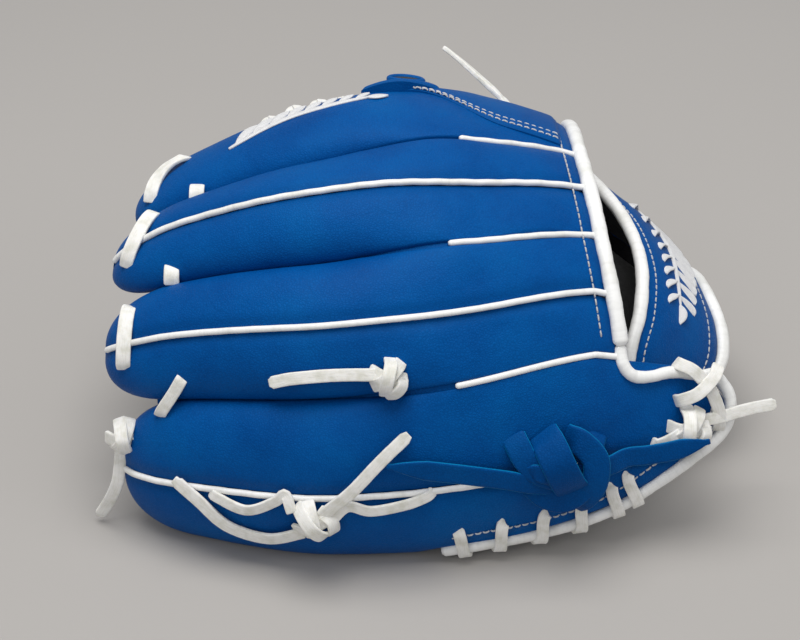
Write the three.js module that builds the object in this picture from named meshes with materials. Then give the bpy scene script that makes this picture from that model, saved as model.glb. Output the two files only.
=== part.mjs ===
// Fielder's glove for the left hand, resting on its little-finger edge and its thumb edge.
// Millimetres. +X runs from the fingertips to the wrist, +Z is up, the back of the hand faces -Y.
// The origin is on the floor under the middle of the glove.
//
// Every leather piece is laid out on one bent sheet, the hand arch. A place on the sheet is
// (u, a, h): u runs 0..1 from the fingertips to the wrist, a is the angle round the arch in degrees
// (100 at the little-finger foot, 0 at the top, then down the far side), h is the height off it,
// positive on the outside. The back leather lies at h > 0 and the palm leather at h < 0.
import * as THREE from "three";
import { ParametricGeometry } from "three/addons/geometries/ParametricGeometry.js";
import { mergeVertices } from "three/addons/utils/BufferGeometryUtils.js";

// Driving sizes
const LENGTH = 300; // fingertips to the end of the wrist strap
const ARCH_RADIUS = 122; // radius of the hand arch over the knuckles
const BACK_DEPTH = 16; // height of a finger stall's back above the sheet
const PALM_DEPTH = 13; // depth of a finger stall's palm side below the sheet
const HEEL_DEPTH = 52; // depth of the palm below the sheet at the heel
const TIP_ROUND = 34; // length over which a fingertip rounds off
const THUMB_WIDTH = 60; // width of the thumb stall
const LEATHER = 3; // thickness of the shell leather
const LINING = 1.4; // thickness of the lining
const PAD = 5; // thickness of the heel pads
const WEB_LEATHER = 4.5; // thickness of the web straps, two layers sewn together
const WEB_POST = 27; // width of a long web strap
const WELT = 3; // diameter of the piping in the seams
const BINDING = 7; // diameter of the rolled edge binding
const LACE_WIDTH = 5; // width of the rawhide lace
const LACE_THICK = 2.4; // thickness of the rawhide lace
const THONG_WIDTH = 9; // width of the little-finger loop thong
const GAP = 0.3; // clearance between pieces that touch
const FOLD_GAP = 13; // clearance in the palm leather at the heel, where the two sides fold in

const DEGREE = Math.PI / 180;
const FOOT = 100; // angle of the little-finger foot
const FAR_LEG = -88; // angle at which the far side becomes a straight leg
const WEB_BEND = 0.42; // radius of the bend over the web, as a share of the arch
const HEEL_BEND = 0.62; // radius of the same bend at the heel

// A smooth value through [place, value] points.
function through(...points) {
  const slopes = points.map((point, i) => {
    const before = points[Math.max(i - 1, 0)];
    const after = points[Math.min(i + 1, points.length - 1)];
    return (after[1] - before[1]) / (after[0] - before[0]);
  });
  const last = points.length - 1;
  return (at) => {
    if (at <= points[0][0]) return points[0][1];
    if (at >= points[last][0]) return points[last][1];
    const i = points.findIndex((point) => at < point[0]) - 1;
    const span = points[i + 1][0] - points[i][0];
    const t = (at - points[i][0]) / span;
    const rise = points[i + 1][1] - points[i][1];
    const bend0 = slopes[i] * span - rise;
    const bend1 = rise - slopes[i + 1] * span;
    return points[i][1] + rise * t + t * (1 - t) * (bend0 * (1 - t) + bend1 * t);
  };
}

const mix = (from, to, t) => from + (to - from) * t;
const smooth = (from, to, at) => THREE.MathUtils.smoothstep(at, from, to);

// The hand arch, along the glove
const archShare = through(
  [0, 0.7], [0.15, 0.86], [0.31, 0.99], [0.46, 1.03], [0.62, 0.96], [0.76, 0.86], [0.97, 0.66],
);
const archShift = through(
  [0, 0.04], [0.15, 0.06], [0.31, 0.09], [0.46, 0.13], [0.62, 0.11], [0.76, 0.1], [0.97, 0.08],
);
const radiusAt = (u) => ARCH_RADIUS * archShare(u);
const bendRadius = (u) => radiusAt(u) * mix(WEB_BEND, HEEL_BEND, smooth(0.5, 0.85, u));
const xAt = (u) => (u - 0.5) * LENGTH;

// The creases between the stalls, as angles round the arch
const ringLittle = through([0.1, 61], [0.46, 62], [0.76, 52]);
const middleRing = through([0.1, 30], [0.46, 34], [0.76, 24]);
const indexMiddle = through([0.1, 3], [0.46, 7], [0.76, -3]);
const indexEdge = through([0.1, -24], [0.46, -20], [0.76, -30]);

function outwards(a) {
  return new THREE.Vector3(0, -Math.sin(a * DEGREE), Math.cos(a * DEGREE));
}

// The centre of the arch, and the start of the straight leg on the far side
function archCentre(u) {
  return new THREE.Vector3(xAt(u), ARCH_RADIUS * archShift(u), -radiusAt(u) * Math.cos(FOOT * DEGREE));
}

function bendCentre(u) {
  return archCentre(u).addScaledVector(outwards(indexEdge(u)), radiusAt(u) - bendRadius(u));
}

function thumbFoot(u) {
  const bend = bendRadius(u);
  const top = bendCentre(u).z + bend * Math.cos(FAR_LEG * DEGREE);
  return FAR_LEG - top / (bend * DEGREE * Math.abs(Math.sin(FAR_LEG * DEGREE)));
}

// The place in space of (u, a, h) on the sheet
function place(u, a, h) {
  if (a >= indexEdge(u)) return archCentre(u).addScaledVector(outwards(a), radiusAt(u) + h);
  const bend = bendRadius(u);
  const angle = Math.max(a, FAR_LEG);
  const spot = bendCentre(u).addScaledVector(outwards(angle), bend + h);
  const down = new THREE.Vector3(0, Math.cos(FAR_LEG * DEGREE), Math.sin(FAR_LEG * DEGREE));
  return spot.addScaledVector(down, (angle - a) * DEGREE * bend);
}

// Degrees round the sheet that span a length in mm
function degrees(u, a, length) {
  const radius = a >= indexEdge(u) ? radiusAt(u) : bendRadius(u);
  return length / (radius * DEGREE);
}

const farDegrees = (u, length) => length / (bendRadius(u) * DEGREE);
const webOpens = (u) => smooth(0.45, 0.59, u);
const thumbEdge = (u) => mix(thumbFoot(u) + farDegrees(u, THUMB_WIDTH), indexEdge(u), webOpens(u));

// How far neighbouring stalls have merged into one hand panel: 0 at the fingers, 1 over the hand
const merged = (u) => smooth(0.32, 0.56, u);
const MERGE = 0.93;
const backDepth = (u) => BACK_DEPTH * mix(0.86, 1, smooth(0, 0.4, u));
const palmDepth = (u) => mix(PALM_DEPTH * mix(0.86, 1, smooth(0, 0.4, u)), HEEL_DEPTH, smooth(0.5, 0.95, u));

// The stalls: hi is the edge nearer the little finger, lo the edge nearer the thumb
const STALLS = {
  index: { hi: indexMiddle, lo: indexEdge, tip: 0.03, openHi: merged, openLo: webOpens },
  middle: { hi: middleRing, lo: indexMiddle, tip: 0.006, openHi: merged, openLo: merged },
  ring: { hi: ringLittle, lo: middleRing, tip: 0.002, openHi: merged, openLo: merged },
  little: { hi: () => FOOT, lo: ringLittle, tip: 0.03, openHi: () => 0, openLo: merged },
  thumb: { hi: thumbEdge, lo: thumbFoot, tip: 0.085, openHi: webOpens, openLo: () => 0 },
};

const middleOf = (stall, u) => (stall.hi(u) + stall.lo(u)) / 2;

function tipRound(stall, u) {
  const left = 1 - (u - stall.tip) / (TIP_ROUND / LENGTH);
  return left <= 0 ? 1 : Math.max(0, 1 - left ** 2.6) ** 0.42;
}

// Where the back leather ends towards the wrist, by angle
const backEnd = through([-30, 0.729], [0, 0.738], [24, 0.758], [40, 0.775], [52, 0.787]);
const heelEnd = through(
  [52, 0.9], [57, 0.945], [62, 0.962], [69, 0.95], [76, 0.9], [83, 0.835],
  [88, 0.775], [91, 0.72], [94, 0.64], [FOOT, 0.5],
);
const palmEnd = () => 0.87;
const thumbBackEnd = (a) => mix(0.81, 0.74, smooth(-200, -100, a));
const littlePalmEnd = (a) => Math.min(heelEnd(a), palmEnd(a));

// One closed body whose cross-sections are rings of points. Ring count and point count are whole
// numbers, and the first and last ring are closed off by the shape itself.
function ringBody(rings, around, spot) {
  const geometry = new ParametricGeometry(
    (p, q, target) => {
      target.copy(spot(Math.round(q * rings), Math.round(p * around) % around));
    },
    around,
    rings,
  );
  geometry.deleteAttribute("normal");
  geometry.deleteAttribute("uv");
  const solid = mergeVertices(geometry, 1e-4);
  solid.computeVertexNormals();
  return solid;
}

// A leather panel: outer(s, t) and inner(s, t) are its two faces, s along the glove and t across it.
function panel(outer, inner, along, across) {
  const around = 2 * across + 2;
  return ringBody(along + 2, around, (row, k) => {
    const s = THREE.MathUtils.clamp(row - 1, 0, along) / along;
    const onOuter = k <= across;
    const t = onOuter ? k / across : (around - 1 - k) / across;
    const face = onOuter ? outer(s, t) : inner(s, t);
    if (row > 0 && row < along + 2) return face;
    return outer(s, t).add(inner(s, t)).multiplyScalar(0.5);
  });
}

// A strip of constant flat cross-section along spots {at, up}, closed by flat ends
function strip(spots, width, thick, sides = 8) {
  const last = spots.length - 1;
  return ringBody(last + 2, sides, (row, k) => {
    const i = THREE.MathUtils.clamp(row - 1, 0, last);
    const at = spots[i].at.clone();
    if (row === 0 || row === last + 2) return at;
    const ahead = spots[Math.min(i + 1, last)].at.clone().sub(spots[Math.max(i - 1, 0)].at).normalize();
    const side = new THREE.Vector3().crossVectors(spots[i].up, ahead).normalize();
    const up = new THREE.Vector3().crossVectors(ahead, side);
    const angle = ((k + 0.5) / sides) * 2 * Math.PI;
    const cos = Math.cos(angle);
    const sin = Math.sin(angle);
    at.addScaledVector(side, 0.5 * width * Math.sign(cos) * Math.abs(cos) ** 0.6);
    return at.addScaledVector(up, 0.5 * thick * Math.sign(sin) * Math.abs(sin) ** 0.6);
  });
}

// Spots along a smooth line through (u, a, h) points on the sheet
function onSheet(points, steps) {
  const line = new THREE.CatmullRomCurve3(points.map(([u, a, h]) => new THREE.Vector3(u * 100, a, h)));
  return line.getPoints(steps).map((p) => ({
    at: place(p.x / 100, p.y, p.z),
    up: outwards(Math.max(p.y, FAR_LEG)),
  }));
}

// Height of the outer skin of the back at (u, a)
function skin(u, a) {
  const stall = Object.values(STALLS).find((each) => a <= each.hi(u) && a >= each.lo(u));
  if (!stall) return 0;
  const half = (stall.hi(u) - stall.lo(u)) / 2;
  const round = tipRound(stall, u);
  const cos = THREE.MathUtils.clamp((a - middleOf(stall, u)) / (half * round || 1), -1, 1);
  const sin = Math.sqrt(1 - cos * cos);
  const open = MERGE * mix(stall.openLo(u), stall.openHi(u), (1 + cos) / 2);
  return backDepth(u) * round * (open + (1 - open) * sin) + GAP;
}

// The same line, laid on the outer skin and raised by lift
function onSkin(points, steps) {
  const line = new THREE.CatmullRomCurve3(points.map(([u, a, lift]) => new THREE.Vector3(u * 100, a, lift)));
  return line.getPoints(steps).map((p) => {
    const u = p.x / 100;
    return { at: place(u, p.y, skin(u, p.y) + p.z), up: outwards(Math.max(p.y, FAR_LEG)) };
  });
}

// Half-width left for the piping at a crease, and at the middle of a stall's back
const creaseInset = (open) => mix(GAP / 2, (WELT + 4 * GAP) / 2, open);
const MIDDLE_INSET = (WELT + 4 * GAP) / 2;

// Depth of the inner face of the palm leather below the sheet at (u, a)
function palmInner(u, a) {
  const stall = Object.values(STALLS).find((each) => a <= each.hi(u) && a >= each.lo(u));
  if (!stall) return 0;
  const half = (stall.hi(u) - stall.lo(u)) / 2;
  const cos = THREE.MathUtils.clamp((a - middleOf(stall, u)) / half, -1, 1);
  const open = MERGE * mix(stall.openLo(u), stall.openHi(u), (1 + cos) / 2);
  return palmDepth(u) * (open + (1 - open) * Math.sqrt(1 - cos * cos)) - LEATHER;
}

// Part of a stall's shell. from and to are angles round the half-section, 0 at lo and 180 at hi.
function stallShell(stall, side, from, to, ends, along, across, inset = MIDDLE_INSET) {
  const depth = side > 0 ? backDepth : palmDepth;
  const shellSpot = (s, t, inner) => {
    const theta = mix(from, to, t) * DEGREE;
    const cos = -Math.cos(theta);
    const sin = Math.sin(theta);
    const start = stall.tip + (inner ? LEATHER / LENGTH : 0);
    const guess = middleOf(stall, 0.76) + (cos * (stall.hi(0.76) - stall.lo(0.76))) / 2;
    const u = mix(start, ends(guess), s ** 1.35);
    const outerU = mix(stall.tip, ends(guess), s ** 1.35);
    const round = tipRound({ tip: start }, u);
    const openSide = mix(stall.openLo(u), stall.openHi(u), (1 + cos) / 2);
    const open = MERGE * openSide;
    const split = inset * (from >= 90 ? 1 : -1) * mix(1, 1.25, smooth(0.7, 0.8, u));
    const atEdge = cos < 0 ? stall.openLo(u) : stall.openHi(u);
    const outerStall = stall === STALLS.little || stall === STALLS.thumb;
    const besideThumb = stall === STALLS.index && cos < 0;
    const folds = outerStall ? Math.min(1, 2.5 * atEdge) : besideThumb ? 0.35 * atEdge : 0;
    const edge = side > 0 ? creaseInset(atEdge) : 2 * GAP + FOLD_GAP * folds * smooth(0.43, 0.58, u);
    const half = ((stall.hi(u) - stall.lo(u)) / 2) * radiusOf(stall, u) * DEGREE - Math.abs(split) - edge;
    const wall = inner ? LEATHER * (1 - openSide) : 0;
    const aside = split + (half - wall) * round * cos;
    const a = middleOf(stall, u) + aside / (radiusOf(stall, u) * DEGREE);
    const full = depth(u) * round * (open + (1 - open) * sin);
    const closed = (depth(u) - LEATHER) * round * sin;
    const thin = mix(closed, depth(outerU) * (open + (1 - open) * sin) - LEATHER, openSide);
    return place(u, a, side * ((inner ? Math.max(thin, 0) : full) + GAP));
  };
  const outer = (s, t) => shellSpot(s, t, false);
  const inner = (s, t) => shellSpot(s, t, true);
  const turned = (face) => (s, t) => face(s, side > 0 ? t : 1 - t);
  return panel(turned(outer), turned(inner), along, across);
}

function radiusOf(stall, u) {
  return stall === STALLS.thumb ? bendRadius(u) : radiusAt(u);
}

const leather = { color: 0x12599c, roughness: 0.5, metalness: 0 };
const darkLeather = { color: 0x0d4a86, roughness: 0.5, metalness: 0 };
const lining = { color: 0x111316, roughness: 0.85, metalness: 0 };
const felt = { color: 0xc9c4b8, roughness: 0.95, metalness: 0 };
const rawhide = { color: 0xeeeeea, roughness: 0.7, metalness: 0 };
const piping = { color: 0xf2f2f0, roughness: 0.45, metalness: 0 };

const glove = new THREE.Group();
const handGroup = new THREE.Group();
const littleGroup = new THREE.Group();
const thumbGroup = new THREE.Group();
glove.add(handGroup, littleGroup, thumbGroup);

function add(group, name, geometry, look) {
  const mesh = new THREE.Mesh(geometry, new THREE.MeshStandardMaterial(look));
  mesh.name = name;
  group.add(mesh);
}

// Finger stalls: back leather in two strips with a welt between them, and the palm side
function makeStalls() {
  add(handGroup, "index_back", stallShell(STALLS.index, 1, 0, 180, backEnd, 12, 6, 0), leather);
  for (const name of ["middle", "ring"]) {
    add(handGroup, name + "_back_upper", stallShell(STALLS[name], 1, 0, 90, backEnd, 16, 3), leather);
    add(handGroup, name + "_back_lower", stallShell(STALLS[name], 1, 90, 180, backEnd, 16, 3), leather);
  }
  add(littleGroup, "little_back_upper", stallShell(STALLS.little, 1, 0, 90, heelEnd, 16, 5), leather);
  add(littleGroup, "little_back_lower", stallShell(STALLS.little, 1, 90, 180, heelEnd, 20, 9), leather);
  add(thumbGroup, "thumb_back", stallShell(STALLS.thumb, 1, 0, 180, thumbBackEnd, 18, 6, 0), leather);
  for (const name of ["index", "middle", "ring"]) {
    add(handGroup, name + "_palm", stallShell(STALLS[name], -1, 0, 180, palmEnd, 12, 5, 0), darkLeather);
  }
  add(littleGroup, "little_palm", stallShell(STALLS.little, -1, 0, 180, littlePalmEnd, 12, 6, 0), darkLeather);
  add(thumbGroup, "thumb_palm", stallShell(STALLS.thumb, -1, 0, 180, palmEnd, 18, 5, 0), darkLeather);
}

// Welts: piping along the middle of each stall's back and along the merged creases
function makeWelts() {
  const sink = -0.25 * WELT;
  const seam = (angle, from, to) => [0, 0.12, 0.35, 0.6, 0.8, 1].map((t) => {
    const u = mix(from, to, t);
    return [u, angle(u), sink];
  });
  const welt = (group, name, angle, from, to, steps) => {
    add(group, name, strip(onSkin(seam(angle, from, to), steps), WELT * 0.98, WELT * 0.98), piping);
  };
  const end = 0.012;
  for (const name of ["middle", "ring"]) {
    const stall = STALLS[name];
    const angle = (u) => middleOf(stall, u);
    welt(handGroup, name + "_welt", angle, stall.tip + end, backEnd(angle(0.75)) - 0.004, 22);
  }
  const littleMiddle = (u) => middleOf(STALLS.little, u);
  const littleTo = heelEnd(littleMiddle(0.85)) - 0.06;
  welt(littleGroup, "little_welt", littleMiddle, STALLS.little.tip + end, littleTo, 24);
  welt(handGroup, "index_middle_welt", indexMiddle, 0.57, backEnd(indexMiddle(0.75)) - 0.004, 10);
  welt(handGroup, "middle_ring_welt", middleRing, 0.55, backEnd(middleRing(0.75)) - 0.004, 10);
  welt(handGroup, "ring_little_welt", ringLittle, 0.56, backEnd(ringLittle(0.75)) - 0.004, 10);
}

// Spots just outside the edge of a panel, at the middle of its thickness. edge(t) gives (u, a).
function alongEdge(edge, steps, offset, side = 1) {
  const spots = [];
  for (let i = 0; i <= steps; i += 1) {
    const [u, a] = edge(i / steps);
    const before = edge(Math.max(i - 0.5, 0) / steps);
    const after = edge(Math.min(i + 0.5, steps) / steps);
    const height = skin(u, a) - LEATHER / 2;
    const up = outwards(Math.max(a, FAR_LEG));
    const along = place(after[0], after[1], height).sub(place(before[0], before[1], height)).normalize();
    const out = new THREE.Vector3().crossVectors(along, up).normalize();
    spots.push({ at: place(u, a, height).addScaledVector(out, side * offset), up });
  }
  return spots;
}

// (u, a) where a stall's back leather ends, cos running from -1 at its lo edge to 1 at its hi edge
function panelEnd(stall, ends, cos) {
  const u = ends(middleOf(stall, 0.76) + (cos * (stall.hi(0.76) - stall.lo(0.76))) / 2);
  return [u, middleOf(stall, u) + (cos * (stall.hi(u) - stall.lo(u))) / 2];
}

const ROLL = BINDING / 2 + 9 * GAP; // distance from a leather edge to the middle of its roll

// Rolled bindings round the back edge and round both heels
function makeBindings() {
  const backEdge = (t) => {
    const a = mix(-29, 49, t);
    return [backEnd(a), a];
  };
  add(handGroup, "back_edge_binding", strip(alongEdge(backEdge, 20, ROLL, -1), BINDING, BINDING), piping);
  const heelEdge = (t) => {
    const a = mix(FOOT - 5, 55, t);
    return [heelEnd(a), a];
  };
  add(littleGroup, "little_heel_binding", strip(alongEdge(heelEdge, 26, ROLL, 1), BINDING, BINDING), piping);
  const thumbHeel = (t) => panelEnd(STALLS.thumb, thumbBackEnd, mix(0.6, -0.75, t));
  add(thumbGroup, "thumb_heel_binding", strip(alongEdge(thumbHeel, 14, ROLL, 1), BINDING, BINDING), piping);
}

// The wrist strap, a band over the wrist opening on its own narrower arch
const STRAP_THICK = 4.5;
const STRAP_FAR = -64; // angle of its end on the thumb side
const strapReach = through(
  [-76, 0.8], [-34, 0.76], [-20, 0.793], [-5, 0.83], [15, 0.85], [35, 0.843], [50, 0.823], [62, 0.82],
);
const strapOuter = through([-76, 0.93], [-34, 0.967], [0, 0.987], [20, 1], [40, 1], [52, 0.987], [62, 0.96]);
const strapShare = through([0.76, 0.8525], [0.83, 0.7213], [0.86, 0.6721], [0.967, 0.4262], [1, 0.3525]);
const strapRadius = (u) => ARCH_RADIUS * strapShare(u);

function onStrap(u, a, h) {
  return archCentre(Math.min(u, 0.97)).setX(xAt(u)).addScaledVector(outwards(a), strapRadius(u) + h);
}

function strapPatch(thick, rise, inset, along, across) {
  const face = (h) => (s, t) => {
    const a = mix(STRAP_FAR + inset, 60 - inset, s);
    const low = strapReach(a) + (BINDING / 2 + GAP + inset / 4) / LENGTH;
    const high = strapOuter(a) - (BINDING + GAP + inset / 4) / LENGTH;
    const puff = 1.5 * Math.sin(Math.PI * t) * Math.sin(Math.PI * s);
    return onStrap(mix(low, high, t), a, h + puff);
  };
  return panel(face(rise - thick), face(rise), along, across);
}

function strapRoll(edge, shift, steps) {
  const spots = [];
  for (let i = 0; i <= steps; i += 1) {
    const a = mix(STRAP_FAR, 60, i / steps);
    const u = edge(a) + shift / LENGTH;
    spots.push({ at: onStrap(u, a, -STRAP_THICK / 2), up: outwards(a) });
  }
  return spots;
}

function makeStrap() {
  add(handGroup, "wrist_strap", strapPatch(STRAP_THICK, 0, 0, 16, 4), leather);
  add(handGroup, "wrist_strap_lining", strapPatch(LINING, -STRAP_THICK - 2 * GAP, 3, 16, 3), lining);
  const roll = (edge, shift) => strip(strapRoll(edge, shift, 20), BINDING * 0.9, BINDING * 0.9);
  add(handGroup, "strap_inner_binding", roll(strapReach, -GAP), piping);
  add(handGroup, "strap_outer_binding", roll(strapOuter, -BINDING / 2 + 3 * GAP), piping);
}

// Lining and heel pads inside the palm
function palmPatch(aFrom, aTo, uFrom, uTo, top, thick, along, across) {
  const face = (depth) => (s, t) => {
    const u = mix(uFrom, uTo, s);
    const a = mix(aFrom(u), aTo(u), t);
    return place(u, a, depth - palmInner(u, a));
  };
  return panel(face(top + thick), face(top), along, across);
}

function makeInside() {
  const over = 8 * GAP;
  const edge = (angle, mm) => (u) => angle(u) + degrees(u, 0, mm);
  const cloth = palmPatch(edge(indexEdge, 4), edge(ringLittle, -2), 0.6, 0.82, over, LINING, 8, 14);
  add(handGroup, "palm_lining", cloth, lining);
  const padTo = (u) => mix(90, 74, smooth(0.62, 0.8, u));
  add(littleGroup, "little_heel_pad", palmPatch(edge(ringLittle, 6), padTo, 0.62, 0.8, over, PAD, 5, 3), felt);
  const thumbLow = (u) => thumbFoot(u) + farDegrees(u, 45);
  const thumbHigh = (u) => thumbFoot(u) + farDegrees(u, 72);
  add(thumbGroup, "thumb_heel_pad", palmPatch(thumbLow, thumbHigh, 0.64, 0.8, over, PAD, 5, 3), felt);
}

// The web: two long posts and three bars between the index finger and the thumb
const webWidth = (u) => (indexEdge(u) - thumbFoot(u)) * DEGREE * bendRadius(u) - THUMB_WIDTH;
const WEB_FROM = 0.13;
const WEB_TO = 0.445;
const webRise = (u) => 1 + 9 * Math.sin(Math.PI * smooth(WEB_FROM, WEB_TO, u));

function webPiece(fromMm, toMm, uFrom, uTo, rise, along, across) {
  const face = (h) => (s, t) => {
    const u = mix(uFrom, uTo, s);
    const a = indexEdge(u) - farDegrees(u, mix(fromMm(u), toMm(u), t));
    return place(u, a, webRise(u) + rise + h);
  };
  return panel(face(0), face(WEB_LEATHER), along, across);
}

function makeWeb() {
  const EDGE = 3;
  const post = (u) => Math.min(WEB_POST, webWidth(u) * 0.36);
  const indexSide = [() => EDGE, (u) => EDGE + post(u)];
  const thumbSide = [(u) => webWidth(u) - EDGE - post(u), (u) => webWidth(u) - EDGE];
  add(thumbGroup, "web_post_index", webPiece(...indexSide, WEB_FROM, WEB_TO, 0, 10, 3), leather);
  add(thumbGroup, "web_post_thumb", webPiece(...thumbSide, WEB_FROM, WEB_TO, 0, 10, 3), leather);
  const inner = (u) => EDGE + post(u) + 2 * GAP;
  const outer = (u) => webWidth(u) - EDGE - post(u) - 2 * GAP;
  const bars = [["tip", WEB_FROM + 0.005, 0.2], ["middle", 0.29, 0.35], ["crotch", 0.42, WEB_TO - 0.005]];
  for (const [name, from, to] of bars) {
    add(thumbGroup, "web_bar_" + name, webPiece(inner, outer, from, to, 0, 4, 3), leather);
  }
}

// Rawhide laces lying on the leather
function lace(group, name, points, steps, look = rawhide, width = LACE_WIDTH, thick = LACE_THICK) {
  const raised = points.map(([u, a, lift = 0]) => [u, a, lift + thick / 2 + 2 * GAP]);
  add(group, name, strip(onSkin(raised, steps), width, thick), look);
}

const middleAt = (name, u) => middleOf(STALLS[name], u);

function makeLaces() {
  const tip = 1.6; // laces stand off the rounded tips
  lace(handGroup, "index_tip_lace", [[0.075, -1, tip], [0.085, -6, tip], [0.092, -11, tip]], 4);
  lace(handGroup, "middle_tip_lace", [[0.045, 23, tip], [0.055, 18, tip], [0.072, 11, tip]], 4);
  lace(handGroup, "ring_tip_lace", [
    [0.046, 55, tip + 0.5], [0.046, 47, tip + 0.5], [0.052, 38, tip + 0.5],
  ], 4);
  const link = (group, name, angle, u, reach) => {
    lace(group, name, [
      [u - 0.008, angle(u) + reach, 0.8], [u, angle(u), 4.5], [u + 0.012, angle(u) - reach, 0.8],
    ], 6);
  };
  link(handGroup, "index_middle_link", indexMiddle, 0.225, 4.5);
  link(handGroup, "middle_ring_link", middleRing, 0.205, 4.5);
  const nearRing = (u) => ringLittle(u) + 6;
  link(littleGroup, "ring_little_link", nearRing, 0.205, 3);
}

// Knots: a flattened ball of lace, standing on the skin at (u, a)
function knot(group, name, u, a, lift, size, look = rawhide) {
  const geometry = new THREE.SphereGeometry(0.5, 10, 7);
  const mesh = new THREE.Mesh(geometry, new THREE.MeshStandardMaterial(look));
  mesh.name = name;
  mesh.scale.set(...size);
  mesh.position.copy(place(u, a, skin(u, a) + lift + size[2] / 2 + GAP));
  mesh.rotation.x = a * DEGREE;
  group.add(mesh);
}

function makeKnots() {
  knot(littleGroup, "little_tip_knot", 0.034, 71, 6.4, [11, 13, 9]);
  knot(handGroup, "ring_side_knot", 0.43, 58, 1.4, [12, 12, 8]);
  knot(littleGroup, "little_side_knot", 0.327, 86, 3.4, [13, 16, 8]);
  knot(littleGroup, "thong_knot", 0.722, 81, 1.2, [36, 24, 14], leather);
  knot(littleGroup, "heel_knot", 0.905, 68, 1.2, [16, 15, 9]);
}

// Loose lace ends, each running out from its knot. The points are (u, a, lift off the skin).
function makeTails() {
  const tail = (group, name, points, steps, look = rawhide, width = LACE_WIDTH) => {
    lace(group, name, points, steps, look, width, LACE_THICK);
  };
  tail(handGroup, "ring_side_tail", [[0.408, 58, 1.6], [0.36, 57.5, 1], [0.305, 57.5, 1], [0.27, 58, 1]], 6);
  tail(littleGroup, "little_side_tail_low", [
    [0.3, 89, 1.4], [0.26, 91, 1.2], [0.2, 89, 1.2], [0.155, 83, 1.2], [0.12, 78.5, 1.6],
  ], 8);
  tail(littleGroup, "little_side_tail_high", [
    [0.352, 83, 1.4], [0.39, 79, 3.4], [0.43, 74, 3.6], [0.475, 69, 2.4],
  ], 6);
  tail(littleGroup, "little_tip_tail", [
    [0.025, 80, 1.6], [0.02, 85, 4.6], [0.006, 91, 6], [-0.012, 97, 6.4],
  ], 6);
  tail(littleGroup, "heel_tail", [[0.935, 66, 1.6], [0.962, 65, 3], [1, 63, 4.2], [1.042, 61.5, 5]], 5);
  tail(littleGroup, "thong_tail_tip", [
    [0.655, 79, 1.4], [0.6, 77.5, 3.6], [0.54, 76.5, 3.6], [0.46, 76, 3.8],
  ], 7, leather, THONG_WIDTH);
  tail(littleGroup, "thong_tail_heel", [
    [0.79, 78, 1.4], [0.83, 75, 2.4], [0.87, 72, 7], [0.945, 68.5, 13],
  ], 7, leather, THONG_WIDTH);
}

// The lace through the outer side of the little finger, the lace that ties the wrist strap to the
// heel, the laces of the web and the loose end that stands up behind the index finger
function makeLongLaces() {
  lace(littleGroup, "little_side_lace", [[0.185, 84, 0.3], [0.24, 84.5, 0.8], [0.278, 85.5, 0.6]], 5);
  lace(littleGroup, "little_side_lace_rear", [[0.372, 86, 0.6], [0.42, 86.5, 0.8], [0.475, 85.5, 0.3]], 5);
  const cross = [[0.895, 57, 1.4], [0.925, 54, 3], [0.955, 57, 4.5], [0.957, 62, 2.6]];
  lace(littleGroup, "strap_lace", cross, 8);
  const zigzag = (u) => {
    const points = [];
    const turns = 7;
    for (let i = 0; i <= 2 * turns; i += 1) {
      const at = mix(WEB_FROM + 0.015, WEB_TO - 0.015, i / (2 * turns));
      const onPost = i % 2 === 1;
      const a = indexEdge(at) + (onPost ? -farDegrees(at, 9) : degrees(at, 0, 7));
      const h = onPost ? webRise(at) + WEB_LEATHER : backDepth(at) * 0.66;
      points.push([at, a, h + LACE_THICK / 2 + 3]);
    }
    return points;
  };
  add(thumbGroup, "web_lace", strip(onSheet(zigzag(), 56), LACE_WIDTH, LACE_THICK, 6), rawhide);
  const behind = onSheet([[0.625, -26, 20], [0.6, -30, 25], [0.57, -34, 31], [0.54, -37, 36.5]], 5);
  add(thumbGroup, "web_tail", strip(behind, LACE_WIDTH, LACE_THICK), rawhide);
}

// The loop for the little finger, inside the hand opening
function makeLoop() {
  const loop = [];
  for (let i = 0; i <= 10; i += 1) {
    const angle = mix(-80, 80, i / 10) * DEGREE;
    loop.push([0.665 + 0.012 * Math.cos(angle), 74 - 14 * Math.sin(angle), 5 - 11 * Math.cos(angle)]);
  }
  add(littleGroup, "little_loop", strip(onSheet(loop, 16), THONG_WIDTH * 1.3, LACE_THICK), leather);
}

// The lace that is whipped round the little-finger heel binding
function makeHeelLace() {
  const turns = 6;
  const edge = (t) => {
    const a = mix(FOOT - 6.5, 80, t);
    return [heelEnd(a), a];
  };
  const middle = alongEdge(edge, turns * 8, ROLL, 1);
  const radius = BINDING / 2 + LACE_THICK / 2 + 4 * GAP;
  const spots = middle.map(({ at, up }, i) => {
    const after = middle[Math.min(i + 1, middle.length - 1)].at;
    const ahead = after.clone().sub(middle[Math.max(i - 1, 0)].at).normalize();
    const side = new THREE.Vector3().crossVectors(ahead, up).normalize();
    const turn = (90 + 45 * Math.sin((i / 8) * Math.PI)) * DEGREE;
    const out = up.clone().multiplyScalar(Math.cos(turn)).addScaledVector(side, Math.sin(turn));
    return { at: at.clone().addScaledVector(out, radius), up: out };
  });
  add(littleGroup, "little_heel_lace", strip(spots, LACE_WIDTH * 0.8, LACE_THICK, 6), rawhide);
}

// The pad over the index finger
function skinPatch(corner, thick, along, across) {
  const face = (rise) => (s, t) => {
    const [u, a] = corner(s, t);
    return place(u, a, skin(u, a) + rise);
  };
  return panel(face(2 * GAP), face(2 * GAP + thick), along, across);
}

function makePads() {
  const pad = (s, t) => {
    const u = mix(0.47, 0.722, s);
    const width = smooth(0.455, 0.6, u);
    const low = mix(-13, -2.5, smooth(0.47, 0.66, u)) - 1;
    return [u, mix(low, mix(low - 3, indexEdge(u) + 2.5, width), t)];
  };
  add(handGroup, "finger_pad", skinPatch(pad, 2, 10, 5), leather);
}

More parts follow.
